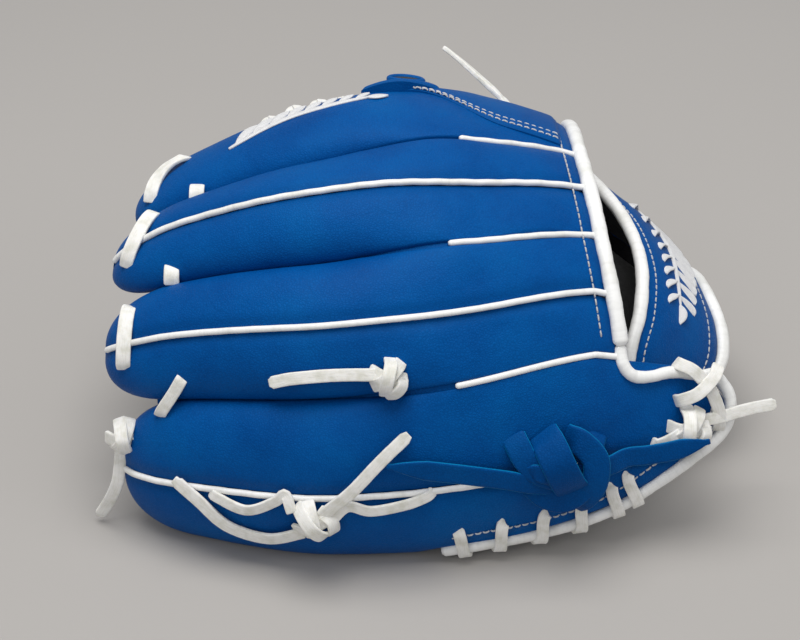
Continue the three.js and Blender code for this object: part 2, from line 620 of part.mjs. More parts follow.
makeStalls();
makeWelts();
makeBindings();
makeStrap();
makeInside();
makeWeb();
makeLaces();
makeKnots();
makeTails();
makeLongLaces();
makeLoop();
makeHeelLace();
makePads();

// Stand the glove on the origin. Loose lace ends don't count.
const box = new THREE.Box3();
glove.updateMatrixWorld(true);
glove.traverse((each) => {
  if (each.isMesh && !each.name.includes("_tail")) box.expandByObject(each, true);
});
glove.position.set(-(box.min.x + box.max.x) / 2, -(box.min.y + box.max.y) / 2, -box.min.z);

const part = new THREE.Group();
part.add(glove);

export default part;
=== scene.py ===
"""Fielder's glove: leather, lacing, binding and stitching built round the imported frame."""

import math

import bpy
import numpy as np
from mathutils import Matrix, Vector, noise


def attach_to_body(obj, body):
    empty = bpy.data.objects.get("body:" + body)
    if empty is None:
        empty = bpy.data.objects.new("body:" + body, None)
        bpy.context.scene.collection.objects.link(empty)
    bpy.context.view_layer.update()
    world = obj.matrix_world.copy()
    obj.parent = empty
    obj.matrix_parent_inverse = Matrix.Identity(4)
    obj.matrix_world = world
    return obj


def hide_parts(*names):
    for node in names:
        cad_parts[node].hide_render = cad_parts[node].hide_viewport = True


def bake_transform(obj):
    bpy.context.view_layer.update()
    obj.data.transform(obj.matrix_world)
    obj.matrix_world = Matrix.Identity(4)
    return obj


bl_info = {
    "name": "Fielder's Glove",
    "version": (1, 0, 0),
    "blender": (4, 5, 0),
    "location": "View3D > Sidebar > Glove",
    "description": "Builds the leather, laces, bindings and stitching of a fielder's glove",
    "category": "Object",
}

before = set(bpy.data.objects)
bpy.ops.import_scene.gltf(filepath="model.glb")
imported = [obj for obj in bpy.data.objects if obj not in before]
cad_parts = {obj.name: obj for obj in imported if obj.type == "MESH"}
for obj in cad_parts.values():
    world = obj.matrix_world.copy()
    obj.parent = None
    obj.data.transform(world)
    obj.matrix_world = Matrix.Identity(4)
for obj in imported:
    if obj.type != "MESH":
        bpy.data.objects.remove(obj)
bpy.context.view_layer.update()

MM = 0.001
STAND = np.array([-0.770, 11.400, 0.671])  # from the sheet's own origin to the floor point

# Sizes of the bent sheet that all leather is laid out on, in millimetres
LENGTH = 300.0
ARCH_RADIUS = 122.0
BACK_DEPTH = 16.0
PALM_DEPTH = 13.0
HEEL_DEPTH = 52.0
TIP_ROUND = 34.0
THUMB_WIDTH = 60.0
LEATHER = 3.0
WEB_LEATHER = 4.5
WEB_POST = 27.0
WELT = 3.0
BINDING = 7.0
LACE_WIDTH = 5.0
LACE_THICK = 2.4
THONG_WIDTH = 9.0
GAP = 0.3
FOOT = 100.0
FAR_LEG = -88.0
WEB_BEND = 0.42
HEEL_BEND = 0.62
MERGE = 0.93
STRAP_THICK = 4.5
STRAP_FAR = -64.0
WEB_FROM = 0.13
WEB_TO = 0.445
DEG = math.pi / 180
ROLL = BINDING / 2 + 9 * GAP


# ---------------------------------------------------------------- the sheet


def through(*points):
    """A smooth value through (place, value) points, flat beyond the ends."""
    at = np.array([p[0] for p in points], float)
    value = np.array([p[1] for p in points], float)
    slope = np.empty(len(at))
    for i in range(len(at)):
        before, after = max(i - 1, 0), min(i + 1, len(at) - 1)
        slope[i] = (value[after] - value[before]) / (at[after] - at[before])

    def curve(x):
        x = np.asarray(x, float)
        i = np.clip(np.searchsorted(at, x, side="right") - 1, 0, len(at) - 2)
        span = at[i + 1] - at[i]
        t = np.clip((x - at[i]) / span, 0, 1)
        rise = value[i + 1] - value[i]
        bend = (slope[i] * span - rise) * (1 - t) + (rise - slope[i + 1] * span) * t
        return value[i] + rise * t + t * (1 - t) * bend

    return curve


def mix(a, b, t):
    return a + (b - a) * t


def smooth(a, b, x):
    t = np.clip((np.asarray(x, float) - a) / (b - a), 0, 1)
    return t * t * (3 - 2 * t)


arch_share = through(
    (0, 0.7), (0.15, 0.86), (0.31, 0.99), (0.46, 1.03), (0.62, 0.96), (0.76, 0.86), (0.97, 0.66)
)
arch_shift = through(
    (0, 0.04), (0.15, 0.06), (0.31, 0.09), (0.46, 0.13), (0.62, 0.11), (0.76, 0.1), (0.97, 0.08)
)
ring_little = through((0.1, 61), (0.46, 62), (0.76, 52))
middle_ring = through((0.1, 30), (0.46, 34), (0.76, 24))
index_middle = through((0.1, 3), (0.46, 7), (0.76, -3))
index_edge = through((0.1, -24), (0.46, -20), (0.76, -30))
back_end = through((-30, 0.729), (0, 0.738), (24, 0.758), (40, 0.775), (52, 0.787))
heel_end = through(
    (52, 0.9), (57, 0.945), (62, 0.962), (69, 0.95), (76, 0.9), (83, 0.835), (87.5, 0.785), (90.3, 0.73),
    (92.2, 0.66), (93.6, 0.58), (95, 0.525), (FOOT, 0.47)
)
strap_reach = through(
    (-76, 0.8), (-34, 0.76), (-20, 0.793), (-5, 0.83), (15, 0.85), (35, 0.843), (50, 0.823), (62, 0.82)
)
strap_outer = through((-76, 0.93), (-34, 0.967), (0, 0.987), (20, 1), (40, 1), (52, 0.987), (62, 0.96))
strap_radius = through((0.76, 104), (0.83, 88), (0.86, 82), (0.967, 52), (1, 43))


def radius_at(u):
    return ARCH_RADIUS * arch_share(u)


def bend_radius(u):
    return radius_at(u) * mix(WEB_BEND, HEEL_BEND, smooth(0.5, 0.85, u))


def outwards(a):
    a = np.asarray(a, float) * DEG
    return np.stack([np.zeros_like(a), -np.sin(a), np.cos(a)], -1)


def arch_centre(u):
    u = np.asarray(u, float)
    z = -radius_at(u) * math.cos(FOOT * DEG)
    return np.stack([(u - 0.5) * LENGTH, ARCH_RADIUS * arch_shift(u), z], -1)


def thumb_foot(u):
    top = arch_centre(u)[..., 2] + (radius_at(u) - bend_radius(u)) * np.cos(index_edge(u) * DEG)
    top = top + bend_radius(u) * math.cos(FAR_LEG * DEG)
    return FAR_LEG - top / (bend_radius(u) * DEG * abs(math.sin(FAR_LEG * DEG)))


def far_degrees(u, length):
    return length / (bend_radius(u) * DEG)


def place(u, a, h):
    """Points in the row frame, in metres, of (u, a, h) on the sheet."""
    u, a, h = np.broadcast_arrays(np.asarray(u, float), np.asarray(a, float), np.asarray(h, float))
    radius, bend, centre = radius_at(u), bend_radius(u), arch_centre(u)
    near = centre + outwards(a) * (radius + h)[..., None]
    angle = np.maximum(a, FAR_LEG)
    far = centre + outwards(index_edge(u)) * (radius - bend)[..., None]
    far = far + outwards(angle) * (bend + h)[..., None]
    down = np.array([0, math.cos(FAR_LEG * DEG), math.sin(FAR_LEG * DEG)])
    far = far + down * ((angle - a) * DEG * bend)[..., None]
    spot = np.where((a >= index_edge(u))[..., None], near, far)
    return (spot + STAND) * MM


def web_opens(u):
    return smooth(0.45, 0.59, u)


def merged(u):
    return smooth(0.32, 0.56, u)


def thumb_edge(u):
    return mix(thumb_foot(u) + far_degrees(u, THUMB_WIDTH), index_edge(u), web_opens(u))


def back_depth(u):
    return BACK_DEPTH * mix(0.86, 1, smooth(0, 0.4, u))


def palm_depth(u):
    return mix(PALM_DEPTH * mix(0.86, 1, smooth(0, 0.4, u)), HEEL_DEPTH, smooth(0.5, 0.95, u))


def shut(u):
    return np.zeros_like(np.asarray(u, float))


def foot(u):
    return np.full_like(np.asarray(u, float), FOOT)


def palm_end(a):
    return np.full_like(np.asarray(a, float), 0.87)


def little_palm_end(a):
    return np.minimum(heel_end(a), 0.87)


def thumb_back_end(a):
    return mix(0.81, 0.74, smooth(-200, -100, a))


STALLS = {
    "index": {"hi": index_middle, "lo": index_edge, "tip": 0.03, "open_hi": merged, "open_lo": web_opens},
    "middle": {"hi": middle_ring, "lo": index_middle, "tip": 0.006, "open_hi": merged, "open_lo": merged},
    "ring": {"hi": ring_little, "lo": middle_ring, "tip": 0.002, "open_hi": merged, "open_lo": merged},
    "little": {"hi": foot, "lo": ring_little, "tip": 0.03, "open_hi": shut, "open_lo": merged},
    "thumb": {"hi": thumb_edge, "lo": thumb_foot, "tip": 0.085, "open_hi": web_opens, "open_lo": shut},
}


def web_rise(u):
    return 1 + 4.5 * np.sin(math.pi * smooth(WEB_FROM, WEB_TO, u))


def stall_middle(name, u):
    return (STALLS[name]["hi"](u) + STALLS[name]["lo"](u)) / 2


def tip_round(tip, u):
    left = np.clip(1 - (u - tip) / (TIP_ROUND / LENGTH), 0, 1)
    return np.maximum(0, 1 - left**2.6) ** 0.42


def skin(u, a):
    """Height of the outer skin of the back leather at (u, a)."""
    u, a = np.broadcast_arrays(np.asarray(u, float), np.asarray(a, float))
    height = np.zeros(u.shape)
    for stall in STALLS.values():
        hi, lo = stall["hi"](u), stall["lo"](u)
        inside = (a <= hi) & (a >= lo)
        rounding = tip_round(stall["tip"], u)
        half = np.maximum((hi - lo) / 2 * rounding, 1e-6)
        cos = np.clip((a - (hi + lo) / 2) / half, -1, 1)
        sin = np.sqrt(1 - cos * cos)
        opened = MERGE * mix(stall["open_lo"](u), stall["open_hi"](u), (1 + cos) / 2)
        full = back_depth(u) * rounding * (opened + (1 - opened) * sin) + GAP
        height = np.where(inside, full, height)
    return height


def sheet_radius(name, u):
    return bend_radius(u) if name == "thumb" else radius_at(u)


def crinkle(spots, size, amount, seed=0.0):
    """Smooth random rise and fall, in millimetres, at points in metres."""
    flat = spots.reshape(-1, 3)
    out = np.empty(len(flat))
    for i, p in enumerate(flat):
        out[i] = noise.noise(Vector((p[0] / size + seed, p[1] / size, p[2] / size)))
    return out.reshape(spots.shape[:-1]) * amount


# ---------------------------------------------------------------- meshes


def smooth_line(points, count):
    """count points along a smooth curve through points of any dimension."""
    p = np.asarray(points, float)
    p = np.vstack([2 * p[0] - p[1], p, 2 * p[-1] - p[-2]])
    t = np.linspace(0, len(p) - 3 - 1e-9, count)
    i = np.clip(t.astype(int), 0, len(p) - 4)
    f = (t - i)[:, None]
    a, b, c, d = p[i], p[i + 1], p[i + 2], p[i + 3]
    return 0.5 * (2 * b + (c - a) * f + (2 * a - 5 * b + 4 * c - d) * f**2 + (3 * b - a - 3 * c + d) * f**3)


def even_line(points, step):
    """Points at equal steps along a polyline, in metres."""
    gaps = np.linalg.norm(np.diff(points[:, :3], axis=0), axis=1)
    run = np.concatenate([[0], np.cumsum(gaps)])
    count = max(int(round(run[-1] / step)), 2)
    at = np.linspace(0, run[-1], count + 1)
    return np.stack([np.interp(at, run, points[:, k]) for k in range(points.shape[1])], -1)


def mesh_object(name, verts, quads, material, sharp_rim=None, lay=None):
    mesh = bpy.data.meshes.new(name)
    verts = np.asarray(verts, np.float32).reshape(-1, 3)
    mesh.vertices.add(len(verts))
    mesh.vertices.foreach_set("co", verts.ravel())
    faces = [list(q) for q in quads]
    loops = np.array([v for q in faces for v in q], np.int32)
    starts = np.cumsum([0] + [len(q) for q in faces[:-1]]).astype(np.int32)
    mesh.loops.add(len(loops))
    mesh.loops.foreach_set("vertex_index", loops)
    mesh.polygons.add(len(faces))
    mesh.polygons.foreach_set("loop_start", starts)
    mesh.update(calc_edges=True)
    mesh.validate()
    mesh.polygons.foreach_set("use_smooth", np.ones(len(mesh.polygons), bool))
    if sharp_rim is not None:
        rim = set(sharp_rim)
        sharp = mesh.attributes.new("sharp_edge", "BOOLEAN", "EDGE")
        sharp.data.foreach_set("value", [e.vertices[0] in rim and e.vertices[1] in rim for e in mesh.edges])
    if lay is not None and len(mesh.vertices) == len(lay):
        mesh.attributes.new("lay", "FLOAT_VECTOR", "POINT").data.foreach_set(
            "vector", lay.astype(np.float32).ravel()
        )
    mesh.materials.append(material)
    piece = bpy.data.objects.new(name, mesh)
    bpy.context.scene.collection.objects.link(piece)
    return piece


def shell_mesh(name, outer, inner, material):
    """A closed leather piece between two grids of points. Its outer grid faces out."""
    rows, cols = outer.shape[:2]
    verts = np.concatenate([outer.reshape(-1, 3), inner.reshape(-1, 3)])
    base = rows * cols
    index = np.arange(base).reshape(rows, cols)
    quads = []
    a, b = index[:-1, :-1].ravel(), index[1:, :-1].ravel()
    c, d = index[1:, 1:].ravel(), index[:-1, 1:].ravel()
    quads += list(zip(a, b, c, d))
    quads += list(zip(d + base, c + base, b + base, a + base))
    for i in range(rows - 1):
        for j, turn in ((0, 1), (cols - 1, 0)):
            p, q = index[i, j], index[i + 1, j]
            quads.append((q, p, p + base, q + base) if turn else (p, q, q + base, p + base))
    for j in range(cols - 1):
        for i, turn in ((0, 0), (rows - 1, 1)):
            p, q = index[i, j], index[i, j + 1]
            quads.append((q, p, p + base, q + base) if turn else (p, q, q + base, p + base))
    rim = set(index[0]) | set(index[-1]) | set(index[:, 0]) | set(index[:, -1])
    rim |= {v + base for v in rim}
    return mesh_object(name, verts, quads, material, rim)


def ribbon(line, ups, width, thick, sides=16, square=0.3, ends=0.35, taper=None, rough=0.0, seed=0.0):
    """Vertices and faces of a strap or tube along a line, all in metres, with rounded ends."""
    line = np.asarray(line, float)
    ups = np.asarray(ups, float)
    ahead = np.gradient(line, axis=0)
    ahead /= np.maximum(np.linalg.norm(ahead, axis=1, keepdims=True), 1e-12)
    side = np.cross(ups, ahead)
    side /= np.maximum(np.linalg.norm(side, axis=1, keepdims=True), 1e-12)
    up = np.cross(ahead, side)
    angle = (np.arange(sides) + 0.5) / sides * 2 * math.pi
    cos = np.sign(np.cos(angle)) * np.abs(np.cos(angle)) ** square
    sin = np.sign(np.sin(angle)) * np.abs(np.sin(angle)) ** square
    count = len(line)
    scale = np.ones(count) if taper is None else np.asarray(taper, float)
    cap, lip = (0.84, 0.96) if square < 0.5 else (0.55, 0.88)
    rings = [(0, -ends * thick, cap), (0, -ends * 0.4 * thick, lip)]
    for i in range(count):
        rings.append((i, 0.0, 1.0))
    rings.append((count - 1, ends * 0.4 * thick, lip))
    rings.append((count - 1, ends * thick, cap))
    run = np.concatenate([[0], np.cumsum(np.linalg.norm(np.diff(line, axis=0), axis=1))]) + seed
    verts, lay = [], []
    for i, shift, share in rings:
        wide = width * 0.5 * share * scale[i]
        tall = thick * 0.5 * share
        ring = line[i] + ahead[i] * shift + side[i] * (cos * wide)[:, None] + up[i] * (sin * tall)[:, None]
        if rough:
            for k in range(sides):
                p = ring[k] / 0.0022
                ring[k] += side[i] * cos[k] * rough * noise.noise(Vector((p[0] + seed, p[1], p[2])))
        verts.append(ring)
        lay.append(np.stack([np.full(sides, run[i] + shift), cos * wide, sin * tall], -1))
    verts = np.array(verts)
    rows = len(verts)
    index = np.arange(rows * sides).reshape(rows, sides)
    faces = []
    for i in range(rows - 1):
        for k in range(sides):
            m = (k + 1) % sides
            faces.append((index[i, k], index[i, m], index[i + 1, m], index[i + 1, k]))
    faces.append(tuple(index[0][::-1]))
    faces.append(tuple(index[-1]))
    return verts.reshape(-1, 3), faces, np.array(lay).reshape(-1, 3)


def joined(parts):
    """Several (verts, faces, lay) as one."""
    verts, faces, lays, base = [], [], [], 0
    for v, f, lay in parts:
        verts.append(np.asarray(v))
        lays.append(np.asarray(lay))
        faces += [tuple(int(i) + base for i in q) for q in f]
        base += len(v)
    return np.concatenate(verts), faces, np.concatenate(lays)


def on_sheet(points, count=60):
    """Line and outward directions through (u, a, h) points on the sheet."""
    p = smooth_line([(u * 100, a, h) for u, a, h in points], count)
    return place(p[:, 0] / 100, p[:, 1], p[:, 2]), outwards(np.maximum(p[:, 1], FAR_LEG))


def on_skin(points, count=60):
    """The same, with the height given above the outer skin."""
    p = smooth_line([(u * 100, a, h) for u, a, h in points], count)
    u = p[:, 0] / 100
    return place(u, p[:, 1], skin(u, p[:, 1]) + p[:, 2]), outwards(np.maximum(p[:, 1], FAR_LEG))


def stitch_row(line, ups, pitch=3.6, length=2.5, radius=0.42, lift=0.15):
    """Separate short stitches along a line, as one shape."""
    both = even_line(np.hstack([line, ups]), pitch * MM)
    parts = []
    for i in range(len(both) - 1):
        a, b = both[i, :3], both[i + 1, :3]
        up = both[i, 3:] / np.linalg.norm(both[i, 3:])
        span = b - a
        reach = np.linalg.norm(span)
        if reach < 1e-6:
            continue
        ahead = span / reach
        middle = (a + b) / 2 + up * lift * MM
        t = np.array([-0.5, -0.32, 0, 0.32, 0.5])
        sink = np.array([-0.5, 0.0, 0.12, 0.0, -0.5]) * MM
        path = middle + ahead * (t * length * MM)[:, None] + up * sink[:, None]
        parts.append(ribbon(path, np.tile(up, (5, 1)), 2 * radius * MM, 2 * radius * MM, 6, 1.0))
    return joined(parts)


def build(name, parts, look, body, *nodes):
    """One piece made of parts, riding on a body and standing for CAD nodes."""
    verts, faces, lay = joined(parts) if isinstance(parts, list) else parts
    piece = mesh_object(name, verts, faces, material(look), lay=lay)
    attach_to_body(piece, body)
    if nodes:
        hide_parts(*nodes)
    return piece


# ---------------------------------------------------------------- materials


def settings():
    return bpy.context.scene.glove_settings


def node(tree, kind, **values):
    """A shader node with its properties and inputs set by name."""
    made = tree.nodes.new(kind)
    for name, value in values.items():
        if hasattr(made, name):
            setattr(made, name, value)
        else:
            made.inputs[name.replace("_", " ")].default_value = value
    return made


def wire(tree, source, target):
    tree.links.new(source, target)


def ramp(tree, factor, *stops):
    made = tree.nodes.new("ShaderNodeValToRGB")
    wire(tree, factor, made.inputs["Fac"])
    elements = made.color_ramp.elements
    while len(elements) < len(stops):
        elements.new(0.5)
    for element, (at, colour) in zip(elements, stops):
        element.position = at
        element.color = (*colour, 1) if len(colour) == 3 else colour
    return made.outputs["Color"]


def maths(tree, operation, a, b=0.0):
    made = tree.nodes.new("ShaderNodeMath")
    made.operation = operation
    for slot, value in ((0, a), (1, b)):
        if isinstance(value, bpy.types.NodeSocket):
            wire(tree, value, made.inputs[slot])
        else:
            made.inputs[slot].default_value = value
    return made.outputs["Value"]


def blend_colour(tree, kind, factor, a, b):
    made = tree.nodes.new("ShaderNodeMix")
    made.data_type = "RGBA"
    made.blend_type = kind
    for name, value in (("Factor", factor), ("A", a), ("B", b)):
        slot = next(
            s for s in made.inputs
            if s.name == name and (name == "Factor") == (s.type == "VALUE") and s.enabled
        )
        if isinstance(value, bpy.types.NodeSocket):
            wire(tree, value, slot)
        else:
            slot.default_value = value
    return next(s for s in made.outputs if s.enabled)


def bumps(tree, *layers):
    """Bump nodes one on another, each layer a (height, distance, strength)."""
    normal = None
    for height, distance, strength in layers:
        made = node(tree, "ShaderNodeBump", Distance=distance, Strength=strength)
        wire(tree, height, made.inputs["Height"])
        if normal:
            wire(tree, normal, made.inputs["Normal"])
        normal = made.outputs["Normal"]
    return normal


def start_material(name, **values):
    material = bpy.data.materials.new(name)
    material.use_nodes = True
    tree = material.node_tree
    shader = tree.nodes["Principled BSDF"]
    for key, value in values.items():
        shader.inputs[key.replace("_", " ")].default_value = value
    return material, tree, shader


def shade(colour, share, share_blue=None):
    r, g, b = colour[:3]
    return (r * share, g * share, b * (share_blue or share), 1)


def leather_material(name, colour, grain):
    """Full-grain dyed leather: pebbles, pores, slow tone changes, and painted shade that darkens it along
    seams and edges.
    """
    material, tree, shader = start_material(name, Specular_IOR_Level=0.14)
    shader.inputs["Specular Tint"].default_value = (0.2, 0.5, 1.0, 1)
    shader.inputs["Coat Weight"].default_value = 0.015
    shader.inputs["Coat Roughness"].default_value = 0.36
    spot = tree.nodes.new("ShaderNodeTexCoord").outputs["Object"]
    slow = node(tree, "ShaderNodeTexNoise", Scale=26.0, Detail=4.0, Roughness=0.55)
    fine = node(tree, "ShaderNodeTexNoise", Scale=900.0, Detail=4.0, Roughness=0.6)
    warp = node(tree, "ShaderNodeTexNoise", Scale=340.0, Detail=2.0)
    pebbles = node(tree, "ShaderNodeTexVoronoi", feature="DISTANCE_TO_EDGE", Scale=820.0)
    pores = node(tree, "ShaderNodeTexVoronoi", feature="F1", Scale=1500.0)
    folds = node(tree, "ShaderNodeTexNoise", Scale=95.0, Detail=3.0, Distortion=0.6)
    for made in (slow, fine, warp, pores, folds):
        wire(tree, spot, made.inputs["Vector"])
    bent = node(tree, "ShaderNodeMix", data_type="VECTOR")
    bent.inputs["Factor"].default_value = 0.0015
    wire(tree, spot, bent.inputs["A"])
    wire(tree, warp.outputs["Color"], bent.inputs["B"])
    wire(tree, next(s for s in bent.outputs if s.enabled), pebbles.inputs["Vector"])
    tone = ramp(
        tree, slow.outputs["Fac"], (0.3, shade(colour, 0.8, 0.86)), (0.5, shade(colour, 1.0)),
        (0.72, shade(colour, 1.2, 1.1))
    )
    valley = ramp(tree, pebbles.outputs["Distance"], (0.0, (0.62, 0.62, 0.66)), (0.16, (1, 1, 1)))
    skin_tone = blend_colour(tree, "MULTIPLY", 0.55, tone, valley)
    # Painted shade: the leather darkens towards shade(colour, 0.55) near seams and panel edges, by the stored
    # edge mask.
    edge = node(tree, "ShaderNodeAttribute", attribute_name="edge").outputs["Fac"]
    seam_shaded = blend_colour(tree, "MIX", maths(tree, "MULTIPLY", edge, 0.35), skin_tone, shade(colour, 0.55))
    wire(tree, seam_shaded, shader.inputs["Base Color"])
    rough = node(tree, "ShaderNodeMapRange", To_Min=0.36, To_Max=0.52)
    wire(tree, slow.outputs["Fac"], rough.inputs["Value"])
    rougher = maths(tree, "ADD", rough.outputs["Result"], maths(tree, "MULTIPLY", fine.outputs["Fac"], 0.08))
    wire(tree, rougher, shader.inputs["Roughness"])
    pebble_height = ramp(tree, pebbles.outputs["Distance"], (0.0, (0, 0, 0)), (0.3, (1, 1, 1)))
    layers = [
        (folds.outputs["Fac"], 0.0016, 0.32),
        (pebble_height, 0.00016, grain),
        (pores.outputs["Distance"], 0.00005, 0.4),
        (fine.outputs["Fac"], 0.00006, 0.5),
    ]
    wire(tree, bumps(tree, *layers), shader.inputs["Normal"])
    return material


def textures(tree, *made):
    """Textures that lie on the piece's own coordinates."""
    spot = tree.nodes.new("ShaderNodeTexCoord").outputs["Object"]
    for texture in made:
        wire(tree, spot, texture.inputs["Vector"])


def roughness(tree, shader, factor, low, high):
    made = node(tree, "ShaderNodeMapRange", To_Min=low, To_Max=high)
    wire(tree, factor, made.inputs["Value"])
    wire(tree, made.outputs["Result"], shader.inputs["Roughness"])


def lay_vector(tree, *scale):
    """Coordinates along and across a lace, from the attribute that its mesh carries."""
    lay = node(tree, "ShaderNodeAttribute", attribute_name="lay")
    made = node(tree, "ShaderNodeMapping")
    made.inputs["Scale"].default_value = scale
    wire(tree, lay.outputs["Vector"], made.inputs["Vector"])
    return made.outputs["Vector"]


def rawhide_material(name, colour):
    """Cut rawhide lace: smooth hide face with long fibres and fuzzy edges."""
    material, tree, shader = start_material(
        name, Specular_IOR_Level=0.35, Sheen_Weight=0.2, Subsurface_Weight=0.08
    )
    shader.inputs["Subsurface Radius"].default_value = (0.0012, 0.001, 0.0008)
    fibres = node(tree, "ShaderNodeTexNoise", Scale=1.0, Detail=5.0, Roughness=0.65)
    wire(tree, lay_vector(tree, 160.0, 1900.0, 1900.0), fibres.inputs["Vector"])
    mottle = node(tree, "ShaderNodeTexNoise", Scale=210.0, Detail=4.0)
    pits = node(tree, "ShaderNodeTexVoronoi", Scale=1300.0)
    textures(tree, mottle, pits)
    tone = ramp(
        tree, mottle.outputs["Fac"], (0.32, shade(colour, 0.84, 0.79)), (0.55, shade(colour, 1.0)),
        (0.75, shade(colour, 1.05))
    )
    streak = ramp(tree, fibres.outputs["Fac"], (0.3, (0.82, 0.81, 0.78)), (0.55, (1, 1, 1)))
    wire(tree, blend_colour(tree, "MULTIPLY", 0.6, tone, streak), shader.inputs["Base Color"])
    roughness(tree, shader, fibres.outputs["Fac"], 0.5, 0.78)
    layers = [
        (mottle.outputs["Fac"], 0.0006, 0.4), (fibres.outputs["Fac"], 0.00018, 0.8),
        (pits.outputs["Distance"], 0.00006, 0.4)
    ]
    wire(tree, bumps(tree, *layers), shader.inputs["Normal"])
    return material


def binding_material(name, colour):
    """Smooth coated binding leather, gathered a little across its length."""
    material, tree, shader = start_material(name, Specular_IOR_Level=0.5, Coat_Weight=0.12)
    gathers = node(tree, "ShaderNodeTexNoise", Scale=1.0, Detail=3.0, Roughness=0.5)
    wire(tree, lay_vector(tree, 420.0, 60.0, 60.0), gathers.inputs["Vector"])
    fine = node(tree, "ShaderNodeTexVoronoi", feature="DISTANCE_TO_EDGE", Scale=1300.0)
    soil = node(tree, "ShaderNodeTexNoise", Scale=70.0, Detail=5.0)
    textures(tree, fine, soil)
    tone = ramp(
        tree, soil.outputs["Fac"], (0.3, shade(colour, 0.86, 0.83)), (0.5, shade(colour, 1.0)),
        (0.8, shade(colour, 1.04))
    )
    dip = ramp(tree, gathers.outputs["Fac"], (0.28, (0.86, 0.86, 0.86)), (0.5, (1, 1, 1)))
    wire(tree, blend_colour(tree, "MULTIPLY", 0.6, tone, dip), shader.inputs["Base Color"])
    roughness(tree, shader, soil.outputs["Fac"], 0.34, 0.5)
    layers = [(gathers.outputs["Fac"], 0.0006, 0.5), (fine.outputs["Distance"], 0.00006, 0.5)]
    wire(tree, bumps(tree, *layers), shader.inputs["Normal"])
    return material


def thread_material(name, colour, twist):
    """Twisted sewing thread or satin stitch: fine ridges across the lay, silky sheen."""
    material, tree, shader = start_material(name, Roughness=0.5, Sheen_Weight=0.35, Sheen_Roughness=0.35)
    ridges = node(tree, "ShaderNodeTexWave", Scale=1.0, Distortion=0.6, Detail=1.0)
    wire(tree, lay_vector(tree, twist, twist * 0.35, 0.0), ridges.inputs["Vector"])
    loose = node(tree, "ShaderNodeTexNoise", Scale=500.0, Detail=3.0)
    textures(tree, loose)
    tone = ramp(tree, ridges.outputs["Fac"], (0.1, shade(colour, 0.86)), (0.5, shade(colour, 1.0)))
    tint = ramp(tree, loose.outputs["Fac"], (0.3, (0.88, 0.88, 0.9)), (0.6, (1, 1, 1)))
    wire(tree, blend_colour(tree, "MULTIPLY", 0.7, tone, tint), shader.inputs["Base Color"])
    layers = [(loose.outputs["Fac"], 0.0002, 0.3), (ridges.outputs["Fac"], 0.00014, 0.9)]
    wire(tree, bumps(tree, *layers), shader.inputs["Normal"])
    return material


def cloth_material(name, colour, pitch, fuzz):
    """Woven or felted inside cloth."""
    material, tree, shader = start_material(name, Roughness=0.85, Sheen_Weight=fuzz, Specular_IOR_Level=0.25)
    weave = node(tree, "ShaderNodeTexVoronoi", Scale=pitch)
    slow = node(tree, "ShaderNodeTexNoise", Scale=60.0, Detail=4.0)
    hairs = node(tree, "ShaderNodeTexNoise", Scale=1100.0, Detail=4.0, Distortion=1.2)
    textures(tree, weave, slow, hairs)
    tone = ramp(tree, slow.outputs["Fac"], (0.3, shade(colour, 0.75)), (0.7, shade(colour, 1.3)))
    dots = ramp(tree, weave.outputs["Distance"], (0.1, (1, 1, 1)), (0.6, (0.6, 0.6, 0.6)))
    wire(tree, blend_colour(tree, "MULTIPLY", 0.7, tone, dots), shader.inputs["Base Color"])
    layers = [(weave.outputs["Distance"], 0.0003, 0.6), (hairs.outputs["Fac"], 0.0002, 0.7)]
    wire(tree, bumps(tree, *layers), shader.inputs["Normal"])
    return material


MAKERS = {
    "leather": lambda s: leather_material("dyed leather", s.leather_color, s.grain),
    "palm_leather": lambda s: leather_material("palm leather", shade(s.leather_color, 0.86), s.grain * 1.15),
    "thong": lambda s: leather_material("thong leather", shade(s.leather_color, 0.8), s.grain),
    # The cut edge is the leather made lighter: partly the raw edge's own paler colour, partly a painted
    # highlight along the thong's edges.
    "cut": lambda s: leather_material("cut leather edge and highlight", shade(s.leather_color, 2.2, 1.35), s.grain),
    "rawhide": lambda s: rawhide_material("rawhide lace", s.lace_color),
    "piping": lambda s: binding_material("binding leather", s.binding_color),
    "thread": lambda s: thread_material("sewing thread", s.thread_color, 2600.0),
    "satin": lambda s: thread_material("satin embroidery", s.thread_color, 900.0),
    "lining": lambda s: cloth_material("palm lining cloth", s.lining_color, 900.0, 0.15),
    "felt": lambda s: cloth_material("heel felt", s.felt_color, 600.0, 0.6),
}


def material(kind):
    name = "glove " + kind
    if name not in bpy.data.materials:
        MAKERS[kind](settings()).name = name
    return bpy.data.materials[name]


# ---------------------------------------------------------------- leather panels


def fineness(count):
    return max(int(count * (1.0)), 4)


